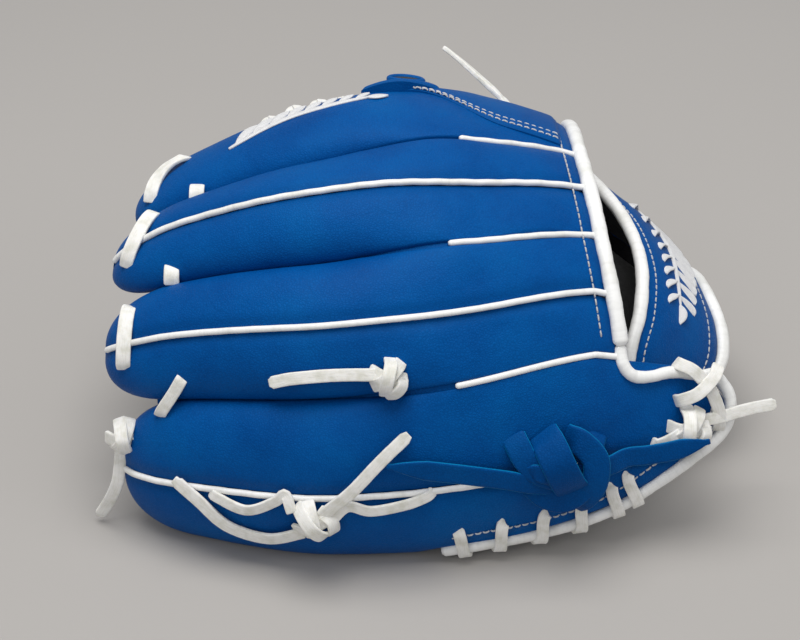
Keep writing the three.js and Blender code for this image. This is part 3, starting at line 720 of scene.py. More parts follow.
def stall_skin(name, side, start, stop, ends, s, t, inner=False, inset=0.0):
    """Points of a stall's outer or inner face. start and stop are degrees round the half-section."""
    stall = STALLS[name]
    theta = mix(start, stop, t) * DEG
    cos, sin = -np.cos(theta), np.sin(theta)
    tip = stall["tip"] + (LEATHER / LENGTH if inner else 0)
    guess = stall_middle(name, 0.76) + cos * (stall["hi"](0.76) - stall["lo"](0.76)) / 2
    u = mix(tip, ends(guess) + (0.006 if side > 0 else 0), s**1.35)
    depth = (back_depth if side > 0 else palm_depth)(u)
    rounding = tip_round(tip, u)
    open_side = mix(stall["open_lo"](u), stall["open_hi"](u), (1 + cos) / 2)
    opened = MERGE * open_side
    split = inset * (1 if start >= 90 else -1) * mix(1, 1.25, smooth(0.7, 0.8, u))
    at_edge = np.where(cos < 0, stall["open_lo"](u), stall["open_hi"](u))
    if side > 0:
        edge = mix(GAP / 2, WELT / 2 - 0.4, at_edge)
    else:
        edge = 0.3
    radius = sheet_radius(name, u)
    half = (stall["hi"](u) - stall["lo"](u)) / 2 * radius * DEG - abs(split) - edge
    wall = LEATHER * (1 - open_side) if inner else 0
    aside = split + (half - wall) * rounding * cos
    a = stall_middle(name, u) + aside / (radius * DEG)
    height = depth * rounding * (opened + (1 - opened) * sin)
    if inner:
        height = np.maximum(mix((depth - LEATHER) * rounding * sin, height - LEATHER, open_side), 0)
    return u, a, height + GAP, open_side


def store_seam_shade(piece, near):
    """Store how near each point of a shell's two faces is to its edge, as the mask where the leather shader
    paints shade along seams and edges.
    """
    stored = piece.data.attributes.new("edge", "FLOAT", "POINT")
    stored.data.foreach_set("value", np.tile(near.ravel(), 2).astype(np.float32))


def panel_piece(node_name, body, stall, side, start, stop, ends, inset, rows, cols, look):
    """A leather panel: puffed between its seams, turned down at its edges, softly creased."""
    name = node_name + "_leather"
    rows, cols = fineness(rows), fineness(cols)
    s = np.linspace(0, 1, rows)[:, None]
    t = np.linspace(0, 1, cols)[None, :]
    s, t = np.broadcast_arrays(0.5 * s + 0.5 * (1 - np.cos(s * math.pi)) / 2, t)
    turned = t if side > 0 else 1 - t
    u, a, h, opened = stall_skin(stall, side, start, stop, ends, s, turned, False, inset)
    spot = place(u, a, side * h)
    width = np.linalg.norm(spot[:, -1] - spot[:, 0], axis=1)[:, None] / MM
    run = np.linalg.norm(spot[-1] - spot[0], axis=1)[None, :] / MM
    in_low, in_high = turned * width, (1 - turned) * width
    if start < 90 <= stop and stop - start > 100:
        seam = np.where(opened > 0.3, np.minimum(in_low, in_high), 99)
    else:
        seam = np.where(start >= 90, in_low, in_high)
        seam = np.minimum(seam, np.where(opened > 0.3, np.where(start >= 90, in_high, in_low), 99))
    cuff = (1 - s) * run
    turn = (
        1.3 * np.exp(-((seam / 2.4) ** 2)) + 0.5 * np.exp(-((seam / 9) ** 2))
        + 0.9 * np.exp(-((cuff / 1.6) ** 2))
    )
    if side < 0:
        turn = 0.8 * np.exp(-((seam / 2.0) ** 2))
    wave = crinkle(spot, 0.034, settings().wrinkle, len(name)) + crinkle(
        spot, 0.013, settings().wrinkle * 0.32, 7.0
    )
    fade = smooth(0, 7, seam) * smooth(5, 16, cuff)
    lift = side * (h - turn + wave * fade * mix(0.35, 1.0, smooth(0.25, 0.6, u)))
    spot = place(u, a, lift)
    ui, ai, hi, _ = stall_skin(stall, side, start, stop, ends, s, turned, True, inset)
    under = place(ui, ai, side * np.maximum(hi - 0.5 * turn, 0))
    piece = shell_mesh(name, spot, under, material(look))
    # Edge mask for the painted shade along the seams and the panel's cuff end.
    store_seam_shade(piece, np.exp(-((np.minimum(seam, cuff) / 3.0) ** 2)))
    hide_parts(node_name)
    attach(piece, body)


def attach(piece, body):
    """A piece on the hand rides on the hand; a piece on any other body is baked where it lies."""
    if body == "hand":
        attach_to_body(piece, body)
    else:
        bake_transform(piece)


# ---------------------------------------------------------------- laces, rolls and thread


def rings_of(line, ups, width, thick, **more):
    """A ribbon through a fine, even version of a line."""
    step = max(min(width, 0.004) * (0.22), 0.0005)
    both = even_line(np.hstack([line, ups]), step)
    return ribbon(both[:, :3], both[:, 3:], width, thick, **more)


def lace_piece(name, body, points, nodes=(), width=LACE_WIDTH):
    """A flat lace lying on the outer skin through (u, a, lift) points, as one piece."""
    line, ups = on_skin([(u, a, lift + LACE_THICK / 2 + 0.2) for u, a, lift in points])
    shape = rings_of(line, ups, width * MM, LACE_THICK * 0.8 * MM, rough=0.00006, seed=len(name) * 0.013)
    build(name, shape, "rawhide", body, *nodes)


def link_piece(name, body, points, width):
    """A short lace over the gap between two stalls, through (u, a, h) points on the sheet."""
    line, ups = on_sheet(points)
    shape = rings_of(line, ups, width * MM, 2 * MM, rough=0.00006)
    build(name + "_hide", shape, "rawhide", body, name)


def loose_end(name, body, points, node_name, look="rawhide", width=5.8):
    """A free lace end."""
    pointed = look == "thong"
    line, ups = on_skin([(u, a, lift + LACE_THICK / 2 + 0.6) for u, a, lift in points], 80)
    both = even_line(np.hstack([line, ups]), 0.001)
    line, ups = both[:, :3], both[:, 3:]
    left = np.linspace(1, 0, len(line))
    taper = np.clip(left / 0.22, 0.12, 1) ** 0.6 if pointed else np.clip(left / 0.02, 0.7, 1)
    shape = ribbon(
        line, ups, width * MM, LACE_THICK * MM * 0.8, taper=taper, rough=0.00007, seed=len(name) * 0.01
    )
    piece = build(name, shape, look, body, node_name)
    if pointed:
        # A wider, thinner ribbon of lighter leather shows along both sides: the raw cut edge, partly a painted
        # highlight.
        raw = ribbon(line, ups, (width + 0.5) * MM, LACE_THICK * MM * 0.45, taper=taper)
        build(name + "_raw_edge_highlight", raw, "cut", body)


KNOT = (
    ((-1.0, 0.35, 0.1), (-0.5, 0.1, 0.55), (0.1, -0.1, 0.62), (0.65, -0.3, 0.5), (1.0, -0.45, 0.15)),
    ((-0.85, -0.5, 0.1), (-0.4, -0.35, 0.7), (0.15, 0.05, 0.85), (0.6, 0.55, 0.6), (0.75, 0.8, 0.1)),
    ((0.15, 1.0, 0.0), (0.2, 0.7, 0.75), (0.05, 0.05, 1.15), (-0.1, -0.6, 0.85), (-0.12, -1.0, 0.05)),
    ((-0.1, -1.0, 0.1), (0.4, -0.95, 0.5), (0.85, -0.5, 0.55), (0.8, 0.15, 0.3)),
)


def knot_piece(name, body, u, a, lift, size, node_name, width, turn=0.0):
    """An overhand knot in a flat lace, pulled tight: one band wrapped over two crossing ones."""
    middle = place(u, a, skin(u, a) + lift)
    up = outwards(a)
    ahead = np.array([math.cos(turn), 0, 0]) + np.cross(up, [1.0, 0, 0]) * math.sin(turn)
    across = np.cross(up, ahead)
    parts = []
    for i, strand in enumerate(KNOT):
        p = smooth_line(strand, 60)
        x, y, z = p[:, 0] * size[0] / 2, p[:, 1] * size[1] / 2, p[:, 2] * size[2]
        line = middle + (ahead * x[:, None] + across * y[:, None] + up * z[:, None]) * MM
        ups = up + ahead * (p[:, 0] * 0.9)[:, None] + across * (p[:, 1] * 0.9)[:, None]
        thick = LACE_THICK * 0.85 * MM
        parts.append(rings_of(line, ups, width * MM, thick, rough=0.00006, seed=turn + 0.05 * i))
    build(name, joined(parts), "rawhide", body, node_name)


def along_edge(edge, count, offset, side):
    """A line just outside a panel's edge at the middle of its thickness. edge(t) gives (u, a)."""
    t = np.linspace(0, 1, count)
    u, a = edge(t)
    height = skin(u, a) - LEATHER / 2
    before = place(*edge(np.clip(t - 0.5 / count, 0, 1)), height)
    after = place(*edge(np.clip(t + 0.5 / count, 0, 1)), height)
    up = outwards(np.maximum(a, FAR_LEG))
    out = np.cross(after - before, up)
    out /= np.linalg.norm(out, axis=1, keepdims=True)
    return place(u, a, height) + out * side * offset * MM, up


def beside(edge, inward, count=220, first=0.01, last=0.985):
    """(u, a) of a line on the skin that runs a distance in mm inside a panel's edge."""
    t = np.linspace(first, last, count)
    u, a = edge(t)
    radius = radius_at(u) * DEG
    along_u, along_a = np.gradient(u) * LENGTH, np.gradient(a) * radius
    size = np.hypot(along_u, along_a)
    out_u, out_a = along_a / size, -along_u / size
    side = -1 if np.mean(out_u) > 0 else 1
    return u + side * inward * out_u / LENGTH, a + side * inward * out_a / radius


def roll_piece(name, body, line, ups, size, nodes, gathers=0.16):
    """A rolled leather binding, a little lumpy where it is gathered and stitched."""
    both = even_line(np.hstack([line, ups]), 0.0011)
    run = np.arange(len(both)) * 0.0011
    lumps = 1 + 0.045 * np.sin(run / 0.0062) * np.sin(run / 0.0131 + 1) + 0.02 * np.sin(run / 0.0021)
    shape = ribbon(both[:, :3], both[:, 3:], size * MM, size * 0.94 * MM, 22, 0.92, 0.3, lumps, gathers * MM)
    build(name, shape, "piping", body, *nodes)


def thread_piece(name, body, rows, pitch=3.7):
    parts = [stitch_row(line, ups, pitch, pitch * 0.68) for line, ups in rows]
    return build(name, joined(parts), "thread", body)


def on_strap(u, a, h):
    u, a, h = np.broadcast_arrays(np.asarray(u, float), np.asarray(a, float), np.asarray(h, float))
    centre = arch_centre(np.minimum(u, 0.97))
    centre[..., 0] = (u - 0.5) * LENGTH
    return (centre + outwards(a) * (strap_radius(u) + h)[..., None] + STAND) * MM


def carried(look, *names):
    """CAD pieces that stay as they are and only get their material."""
    for name in names:
        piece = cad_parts[name]
        piece.data.materials.clear()
        piece.data.materials.append(material(look))


def patch_piece(name, body, corner, face, thick, rows, cols, nodes, puff=1.0, lip=1.0, under=None):
    """A thin leather patch: corner(s, t) gives (u, a), face(u, a, h) the point."""
    rows, cols = fineness(rows), fineness(cols)
    s, t = np.meshgrid(np.linspace(0, 1, rows), np.linspace(0, 1, cols), indexing="ij")
    u, a = corner(s, t)
    base = face(u, a, 0 * u)
    wide = np.linalg.norm(base[:, -1] - base[:, 0], axis=1)[:, None] / MM
    long = np.linalg.norm(np.diff(base, axis=0), axis=2).sum(0)[None, :] / MM
    rim = np.minimum(np.minimum(t, 1 - t) * wide, np.minimum(s, 1 - s) * long)
    edge = lip * np.exp(-((rim / 1.3) ** 2))
    swell = puff * (1 - np.exp(-((rim / 9) ** 2)))
    top = face(
        u, a, thick + swell - edge + crinkle(base, 0.02, 0.25 * settings().wrinkle, 3.0) * smooth(0, 4, rim)
    )
    piece = shell_mesh(name, top, under(u, a) if under else base, material("leather"))
    # Edge mask for the painted shade round the patch's rim.
    store_seam_shade(piece, np.exp(-((rim / 1.5) ** 2)))
    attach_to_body(piece, body)
    if nodes:
        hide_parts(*nodes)


# ---------------------------------------------------------------- operators


def dye(name, description, default):
    return bpy.props.FloatVectorProperty(
        name=name, description=description, default=default, subtype="COLOR", size=3, min=0, max=1
    )


class GloveSettings(bpy.types.PropertyGroup):
    leather_color: dye("Leather", "Dye of the leather", (0.0005, 0.079, 0.31))
    binding_color: dye("Binding", "Colour of the rolled bindings and welts", (0.9, 0.9, 0.89))
    lace_color: dye("Lace", "Colour of the rawhide laces", (0.88, 0.87, 0.84))
    thread_color: dye("Thread", "Colour of the sewing and embroidery", (0.93, 0.93, 0.94))
    lining_color: dye("Lining", "Colour of the palm lining", (0.008, 0.008, 0.009))
    felt_color: dye("Felt", "Colour of the heel pads", (0.5, 0.48, 0.43))
    floor_color: dye("Floor", "Colour of the floor", (0.43, 0.412, 0.395))
    wrinkle: bpy.props.FloatProperty(
        name="Softness",
        description="Depth of the soft folds in the leather, in millimetres",
        default=1.1, min=0, max=3
    )
    grain: bpy.props.FloatProperty(
        name="Grain", description="Strength of the leather grain", default=0.55, min=0, max=2
    )
    stitch_pitch: bpy.props.FloatProperty(
        name="Stitch pitch",
        description="Length of one stitch and its gap, in millimetres",
        default=3.7, min=2, max=8
    )
    elevation: bpy.props.FloatProperty(
        name="Camera height", description="Angle of the camera above the floor", subtype="ANGLE",
        default=math.radians(34.0),
    )
    distance: bpy.props.FloatProperty(
        name="Camera distance", description="From the glove to the camera",
        unit="LENGTH", default=1.05, min=0.4, max=5
    )


class GLOVE_OT_camera(bpy.types.Operator):
    """Place the camera"""

    bl_idname = "glove.camera"
    bl_label = "Camera"

    def execute(self, context):
        s = settings()
        lens = bpy.data.cameras.new("camera")
        lens.lens = 36 * s.distance / 0.392
        lens.clip_start = 0.05
        eye = bpy.data.objects.new("camera", lens)
        context.scene.collection.objects.link(eye)
        target = Vector((-0.0118, 0.0, 0.0639))
        back = Vector((0, -math.cos(s.elevation), math.sin(s.elevation)))
        eye.location = target + back * s.distance
        eye.rotation_euler = (math.pi / 2 - s.elevation, 0, 0)
        context.scene.camera = eye
        return {"FINISHED"}


class GLOVE_OT_loose_ends(bpy.types.Operator):
    """Lay the free ends of the laces and of the leather thong"""

    bl_idname = "glove.loose_ends"
    bl_label = "Loose lace ends"

    def execute(self, context):
        ends = {
            "ring_side": ("hand", ((0.425, 58, 2), (0.36, 57.5, 1), (0.305, 57.5, 1), (0.27, 58, 1))),
            "little_side_low": (
                "little_side",
                ((0.315, 88, 2.4), (0.26, 91, 1.2), (0.2, 89, 1.2), (0.155, 83, 1.2), (0.12, 78.5, 1.6))
            ),
            "little_side_high": (
                "little_side",
                ((0.34, 85, 3), (0.352, 83, 2.8), (0.39, 79, 3.4), (0.43, 74, 3.6), (0.475, 69, 2.4))
            ),
            "little_tip": (
                "little_side",
                ((0.03, 73, 3), (0.025, 80, 2.6), (0.02, 85, 4.6), (0.006, 91, 6), (-0.012, 97, 6.4))
            ),
            "heel": (
                "little_side",
                ((0.915, 67.5, 2.6), (0.935, 66, 2.2), (0.962, 65, 3), (1.0, 63, 4.2), (1.042, 61.5, 5))
            ),
        }
        for name, (body, points) in ends.items():
            old = {"heel": "heel_tail", "little_tip": "little_tip_tail", "ring_side": "ring_side_tail"}
            loose_end(name + "_end", body, points, old.get(name, name.replace("_side_", "_side_tail_")))
        tip = (
            (0.7, 78.8, 5), (0.66, 78.4, 4), (0.62, 77.4, 3), (0.56, 76.2, 3), (0.5, 75.3, 3),
            (0.445, 74.4, 3.2)
        )
        heel = (
            (0.745, 76, 6), (0.782, 75.6, 4), (0.81, 74.2, 3), (0.84, 73.6, 5), (0.88, 72.2, 9),
            (0.935, 69.8, 13)
        )
        loose_end("thong_end_tip", "little_side", tip, "thong_tail_tip", "thong", THONG_WIDTH)
        loose_end("thong_end_heel", "little_side", heel, "thong_tail_heel", "thong", THONG_WIDTH)
        line, ups = on_sheet(
            ((0.648, -23.6, 14.5), (0.625, -26, 20), (0.6, -30, 25), (0.57, -34, 31), (0.54, -37, 36.5)), 60
        )
        shape = ribbon(line, ups, LACE_WIDTH * MM, LACE_THICK * MM, rough=0.00014)
        piece = build("web_end", shape, "rawhide", "thumb_side", "web_tail")
        return {"FINISHED"}


class GLOVE_OT_panels(bpy.types.Operator):
    """Sew the back and palm leather of the five stalls"""

    bl_idname = "glove.panels"
    bl_label = "Leather panels"

    def execute(self, context):
        seam = WELT / 2 - 0.3
        halves = (("upper", 0), ("lower", 90))
        backs = []
        for stall in ("middle", "ring"):
            backs += [
                (stall, part, "hand", start, start + 90, back_end, seam, 200, 34) for part, start in halves
            ]
        backs += [
            ("little", part, "little_side", start, start + 90, heel_end, seam, 220, 48)
            for part, start in halves
        ]
        backs.append(("index", "", "hand", 0, 180, back_end, 0, 200, 70))
        backs.append(("thumb", "", "thumb_side", 0, 180, thumb_back_end, 0, 180, 80))
        for stall, part, body, *shape in backs:
            name = f"{stall}_back_{part}".rstrip("_")
            panel_piece(name, body, stall, 1, *shape, "leather")
        ends = {
            "index": palm_end, "middle": palm_end, "ring": palm_end, "little": little_palm_end,
            "thumb": palm_end
        }
        for stall, end in ends.items():
            body = {"little": "little_side", "thumb": "thumb_side"}.get(stall, "hand")
            panel_piece(stall + "_palm", body, stall, -1, 0, 180, end, 0, 120, 60, "palm_leather")
        return {"FINISHED"}


class GLOVE_OT_welts(bpy.types.Operator):
    """Set the piping into the seams"""

    bl_idname = "glove.welts"
    bl_label = "Welts"

    def welt(self, name, body, angle, start, stop):
        u = np.linspace(start, stop, 160)
        a = angle(u)
        sink = -0.55 + 0.12 * np.sin(u * 160)
        line = place(u, a, skin(u, a) + sink)
        both = even_line(np.hstack([line, outwards(a)]), 0.0009)
        shape = ribbon(both[:, :3], both[:, 3:], WELT * 0.98 * MM, WELT * MM, 14, 0.95, 0.4, rough=0.00004)
        build(name + "_piping", shape, "piping", body, name)

    def execute(self, context):
        for name in ("middle", "ring"):
            angle = lambda u, n=name: stall_middle(n, u)
            self.welt(
                name + "_welt", "hand", angle, STALLS[name]["tip"] + 0.006,
                float(back_end(angle(0.75))) + 0.004
            )
        little = lambda u: stall_middle("little", u)
        self.welt("little_welt", "little_side", little, 0.036, float(heel_end(little(0.85))) - 0.02)
        self.welt(
            "index_middle_welt", "hand", index_middle, 0.56, float(back_end(index_middle(0.75))) + 0.004
        )
        self.welt("middle_ring_welt", "hand", middle_ring, 0.54, float(back_end(middle_ring(0.75))) + 0.004)
        self.welt("ring_little_welt", "hand", ring_little, 0.55, float(back_end(ring_little(0.75))) + 0.004)
        return {"FINISHED"}


def back_edge(t):
    a = mix(-29, 49, t)
    return back_end(a), a


def heel_edge(t):
    a = mix(94.8, 55, t)
    return heel_end(a), a


def thumb_heel(t):
    cos = mix(0.6, -0.75, t)
    guess = stall_middle("thumb", 0.76) + cos * (STALLS["thumb"]["hi"](0.76) - STALLS["thumb"]["lo"](0.76)) / 2
    u = thumb_back_end(guess)
    return u, stall_middle("thumb", u) + cos * (STALLS["thumb"]["hi"](u) - STALLS["thumb"]["lo"](u)) / 2


class GLOVE_OT_creases(bpy.types.Operator):
    """Close the bottoms of the creases between the fingers"""

    bl_idname = "glove.creases"
    bl_label = "Creases"

    def execute(self, context):
        for name, angle in (
            ("index_middle", index_middle), ("middle_ring", middle_ring), ("ring_little", ring_little)
        ):
            u = np.linspace(0.09, 0.66, 160)
            a = angle(u)
            line = place(u, a, skin(u, a) * 0.96 - 2.2)
            shape = rings_of(line, outwards(a), 6.4 * MM, 1.6 * MM)
            build(name + "_crease", shape, "leather", "hand")
        return {"FINISHED"}


class GLOVE_OT_bindings(bpy.types.Operator):
    """Roll the bindings round the back edge and the two heels"""

    bl_idname = "glove.bindings"
    bl_label = "Bindings"

    def execute(self, context):
        line, ups = along_edge(back_edge, 120, ROLL - 1.6, -1)
        roll_piece("back_edge_roll", "hand", line, ups, BINDING, ["back_edge_binding"])
        line, ups = along_edge(heel_edge, 140, ROLL - 1.6, 1)
        corner = (
            (0.93, 55, -0.6), (0.917, 54.5, 0.2), (0.88, 54.5, 0.8), (0.845, 56, 1), (0.818, 56, 0.6),
            (0.803, 53.5, 0), (0.799, 50, -1.4)
        )
        more, more_ups = on_skin(corner, 60)
        line, ups = np.vstack([line[:-4], more[2:]]), np.vstack([ups[:-4], more_ups[2:]])
        roll_piece("little_heel_roll", "little_side", line, ups, BINDING * 0.82, ["little_heel_binding"])
        line, ups = along_edge(thumb_heel, 80, ROLL - 1.6, 1)
        roll_piece("thumb_heel_roll", "thumb_side", line, ups, BINDING, ["thumb_heel_binding"])
        return {"FINISHED"}


class GLOVE_OT_strap(bpy.types.Operator):
    """Build the wrist strap with its rolls, lining and stitching"""

    bl_idname = "glove.strap"
    bl_label = "Wrist strap"

    def corner(self, s, t):
        a = mix(STRAP_FAR, 60, s)
        low = strap_reach(a) + (BINDING / 2 - 1.0) / LENGTH
        high = strap_outer(a) - (BINDING - 1.2) / LENGTH
        return mix(low, high, t), a

    def edge(self, reach, shift, rise):
        a = np.linspace(STRAP_FAR, 60, 150)
        return on_strap(reach(a) + shift / LENGTH, a, rise), outwards(a)

    def execute(self, context):
        face = lambda u, a, h: on_strap(u, a, h - STRAP_THICK)
        patch_piece(
            "strap_leather", "hand", self.corner, face, STRAP_THICK - 0.8, 150, 40, ["wrist_strap"], 2.2, 1.2
        )
        carried("lining", "wrist_strap_lining")
        for name, reach, shift in (
            ("strap_inner", strap_reach, 0), ("strap_outer", strap_outer, -BINDING / 2 + 1)
        ):
            line, ups = self.edge(reach, shift, -STRAP_THICK / 2 + 0.4)
            roll_piece(name + "_roll", "hand", line, ups, BINDING * 0.92, [name + "_binding"])
        rows = [self.edge(strap_reach, BINDING / 2 + 3.6, 0.05), self.edge(strap_outer, -BINDING - 3.4, 0.05)]
        thread_piece("strap_stitching", "hand", rows, settings().stitch_pitch)
        return {"FINISHED"}


class GLOVE_OT_web(bpy.types.Operator):
    """Lace the web between the thumb and the index finger"""

    bl_idname = "glove.web"
    bl_label = "Web"

    def patch(self, name, low, high, start, stop, node_name):
        def corner(s, t):
            u = mix(start, stop, s)
            return u, index_edge(u) - far_degrees(u, mix(low(u), high(u), t))

        def face(u, a, h):
            return place(u, a, web_rise(u) + h)

        patch_piece(name, "thumb_side", corner, face, WEB_LEATHER, 90, 26, [node_name], 0.8, 1.6)

    def execute(self, context):
        def width(u):
            return (index_edge(u) - thumb_foot(u)) * DEG * bend_radius(u) - THUMB_WIDTH

        def post(u):
            return np.minimum(WEB_POST, width(u) * 0.36)

        self.patch(
            "web_index_post", lambda u: 0 * u + 3, lambda u: 3 + post(u), WEB_FROM, WEB_TO, "web_post_index"
        )
        self.patch(
            "web_thumb_post", lambda u: width(u) - 3 - post(u), lambda u: width(u) - 3, WEB_FROM, WEB_TO,
            "web_post_thumb"
        )
        bars = {"tip": (WEB_FROM + 0.005, 0.2), "middle": (0.29, 0.35), "crotch": (0.42, WEB_TO - 0.005)}
        for name, (start, stop) in bars.items():
            self.patch(
                f"web_{name}_bar", lambda u: 3 + post(u) - 1, lambda u: width(u) - post(u) - 2, start, stop,
                "web_bar_" + name
            )

        def tab_corner(s, t):
            u = mix(0.4, 0.53, s)
            half = 9.5 * np.sin(np.pi * np.clip(s * 0.92 + 0.04, 0, 1)) ** 0.5
            return u, mix(-14.5 + half * 0.2, -16 - half * 1.5, t)

        def tab_face(u, a, h):
            hump = 3.0 * np.sin(np.pi * np.clip((u - 0.4) / 0.13, 0, 1))
            return place(u, a, skin(u, a) + 0.4 + hump + h)

        def tab_under(u, a):
            return place(u, a, skin(u, a) - 1)

        patch_piece("web_tab_leather", "hand", tab_corner, tab_face, 2.6, 70, 36, [], 1.0, 1.3, tab_under)
        for name, u, a, rise, size in (
            ("web_tab", 0.473, -17.0, 7.0, 6.6), ("web_loop", 0.372, -19.0, 1.6, 5.6)
        ):
            q = np.linspace(0, 2 * math.pi * 0.999, 60)
            line = place(
                u + size * 1.25 * np.cos(q) / LENGTH, a + size * 0.8 * np.sin(q) / (radius_at(u) * DEG),
                skin(u, a) + rise
            )
            shape = ribbon(line, np.tile(outwards(a), (60, 1)), 2.8 * MM, 3.2 * MM, 12, 1.0)
            build(name + "_rim", shape, "leather", "hand")
            # Painted shade: a flat black disc in the lining material, laid on the tab inside the rim, stands
            # in for the dark inside of a hole that is not cut.
            line = place(u + np.linspace(-1, 1, 9) * size * 1.15 / LENGTH, a, skin(u, a) + rise + 0.1)
            shape = ribbon(
                line, np.tile(outwards(a), (9, 1)), size * 1.5 * MM, 1.0 * MM, 16, 0.8,
                taper=np.sqrt(np.clip(1 - np.linspace(-1, 1, 9) ** 2, 0.05, 1))
            )
            build(name + "_hole_shade", shape, "lining", "hand")
        points = []
        for i in range(15):
            at = mix(WEB_FROM + 0.015, WEB_TO - 0.015, i / 14)
            on_post = i % 2 == 1
            a = index_edge(at) + (-far_degrees(at, 10) if on_post else 1.5 / (radius_at(at) * DEG))
            h = web_rise(at) + WEB_LEATHER if on_post else back_depth(at) * 0.2
            points.append((at, float(a), float(h) + LACE_THICK / 2 + 1.2))
        line, ups = on_sheet(points, 300)
        shape = rings_of(line, ups, LACE_WIDTH * MM, LACE_THICK * MM, rough=0.00012)
        build("web_lacing", shape, "rawhide", "thumb_side", "web_lace")
        return {"FINISHED"}


class GLOVE_OT_laces(bpy.types.Operator):
    """Thread the short laces and the laces of the heel"""

    bl_idname = "glove.laces"
    bl_label = "Laces"

    def execute(self, context):
        tips = {
            "index_tip_lace": (
                (0.118, -12, -1.5), (0.108, -10.5, 1.2), (0.086, -9.5, 2.2), (0.07, -7.5, 1.6),
                (0.062, -4.4, 0.8), (0.06, -3, -1.5)
            ),
            "middle_tip_lace": (
                (0.034, 22, -1.5), (0.038, 20.5, 1.2), (0.054, 15, 2), (0.071, 9, 1.2), (0.076, 7.5, -1.5)
            ),
            "ring_tip_lace": (
                (0.038, 51.5, -1.5), (0.038, 50, 1.2), (0.04, 43, 2), (0.043, 36.5, 1.2), (0.045, 35, -1.5)
            ),
        }
        for name, points in tips.items():
            lace_piece(name + "_hide", "hand", points, [name], width=6.8)
        for name, angle, u, shift in (
            ("index_middle", index_middle, 0.14, -0.8), ("middle_ring", middle_ring, 0.11, -1.8)
        ):
            a = float(angle(u)) + shift
            points = [
                (u, a + across, h) for across, h in ((-2.6, 6), (-1.5, 8), (0, 8.6), (1.5, 8), (2.6, 6))
            ]
            link_piece(name + "_link", "hand", points, 7.2)
        points = (
            (0.134, 55.2, 9), (0.13, 56.2, 11), (0.118, 59, 10.4), (0.104, 62, 10), (0.098, 63.4, 9.4),
            (0.095, 64.4, 7)
        )
        link_piece("ring_little_link", "little_side", points, 5.8)
        side = (
            (0.176, 81.5, -1.5), (0.185, 82, 0.4), (0.23, 84, 1.4), (0.275, 81.5, 1), (0.29, 80, 0.4),
            (0.3, 83, 3)
        )
        lace_piece("little_side_lace_hide", "little_side", side, ["little_side_lace"])
        rear = (
            (0.36, 85, 2.4), (0.385, 82.5, 0.8), (0.42, 83.5, 1.4), (0.47, 82.6, 1), (0.502, 81.2, 0.4),
            (0.512, 80.5, -1.5)
        )
        lace_piece("little_side_lace_rear_hide", "little_side", rear, ["little_side_lace_rear"])
        cross = (
            (0.888, 52, -1), (0.893, 52.5, 3.2), (0.915, 54, 6.5), (0.94, 58, 6), (0.955, 63, 4),
            (0.958, 67, 2), (0.957, 69, -1)
        )
        other = ((0.888, 61.5, -1), (0.895, 61, 4), (0.92, 59, 8.6), (0.945, 55, 8), (0.955, 52, 3))
        lace_piece("strap_lace_hide", "little_side", cross, ["strap_lace"], width=6.0)
        lace_piece("strap_lace_over_hide", "little_side", other, width=6.0)
        lace_piece(
            "heel_knot_loop_hide", "little_side",
            ((0.852, 72, -1), (0.86, 72, 2), (0.885, 70, 4.4), (0.905, 68, 3)), width=6.0
        )
        return {"FINISHED"}


class GLOVE_OT_heel_lace(bpy.types.Operator):
    """Whip the lace round the little-finger heel roll"""

    bl_idname = "glove.heel_lace"
    bl_label = "Heel lace"

    def execute(self, context):
        parts = []
        edge, ups = along_edge(heel_edge, 500, 0, 1)
        roll = along_edge(heel_edge, 500, ROLL - 1.6, 1)[0]
        rows = {d: beside(heel_edge, d, 500, 0, 1) for d in (8.2, 7.8, 4.5)}
        whips = ((0.564, -1.5), (0.617, 3), (0.68, 4.7), (0.742, 4.7), (0.8, 2.6), (0.829, 2.6))
        for i, (u, lean) in enumerate(whips):
            k = max(int(np.argmin(np.abs(roll[:380, 0] - place(u, 90, 0)[0]))), 3)
            ahead = roll[k + 2] - roll[k - 2]
            ahead /= np.linalg.norm(ahead)
            inward = edge[k] - roll[k]
            inward /= np.linalg.norm(inward)
            up = ups[k]
            reach = (BINDING * 0.41 + LACE_THICK * 0.4) * MM
            holes = [
                place(*(v[k] for v in rows[d]), skin(rows[d][0][k], rows[d][1][k]))
                for d in (8.2, 7.8, 4.5)
            ]
            shape = [(holes[0] - up * 0.002, up), (holes[1] + up * 0.0006, up), (holes[2] + up * 0.0019, up)]
            for degrees in (95, 135, 180, 225, 262):
                out = up * math.sin(degrees * DEG) + inward * math.cos(degrees * DEG)
                shape.append((roll[k] + out * reach, out))
            path = smooth_line([np.concatenate(pair) for pair in shape], 60)
            line = path[:, :3] + ahead * (np.linspace(lean, -lean, 60) * MM)[:, None]
            wide, tall = LACE_WIDTH * 1.15 * MM, LACE_THICK * 0.8 * MM
            parts.append(rings_of(line, path[:, 3:], wide, tall, rough=0.00005, seed=i * 0.1))
        build("heel_lace_hide", joined(parts), "rawhide", "little_side", "little_heel_lace")
        return {"FINISHED"}


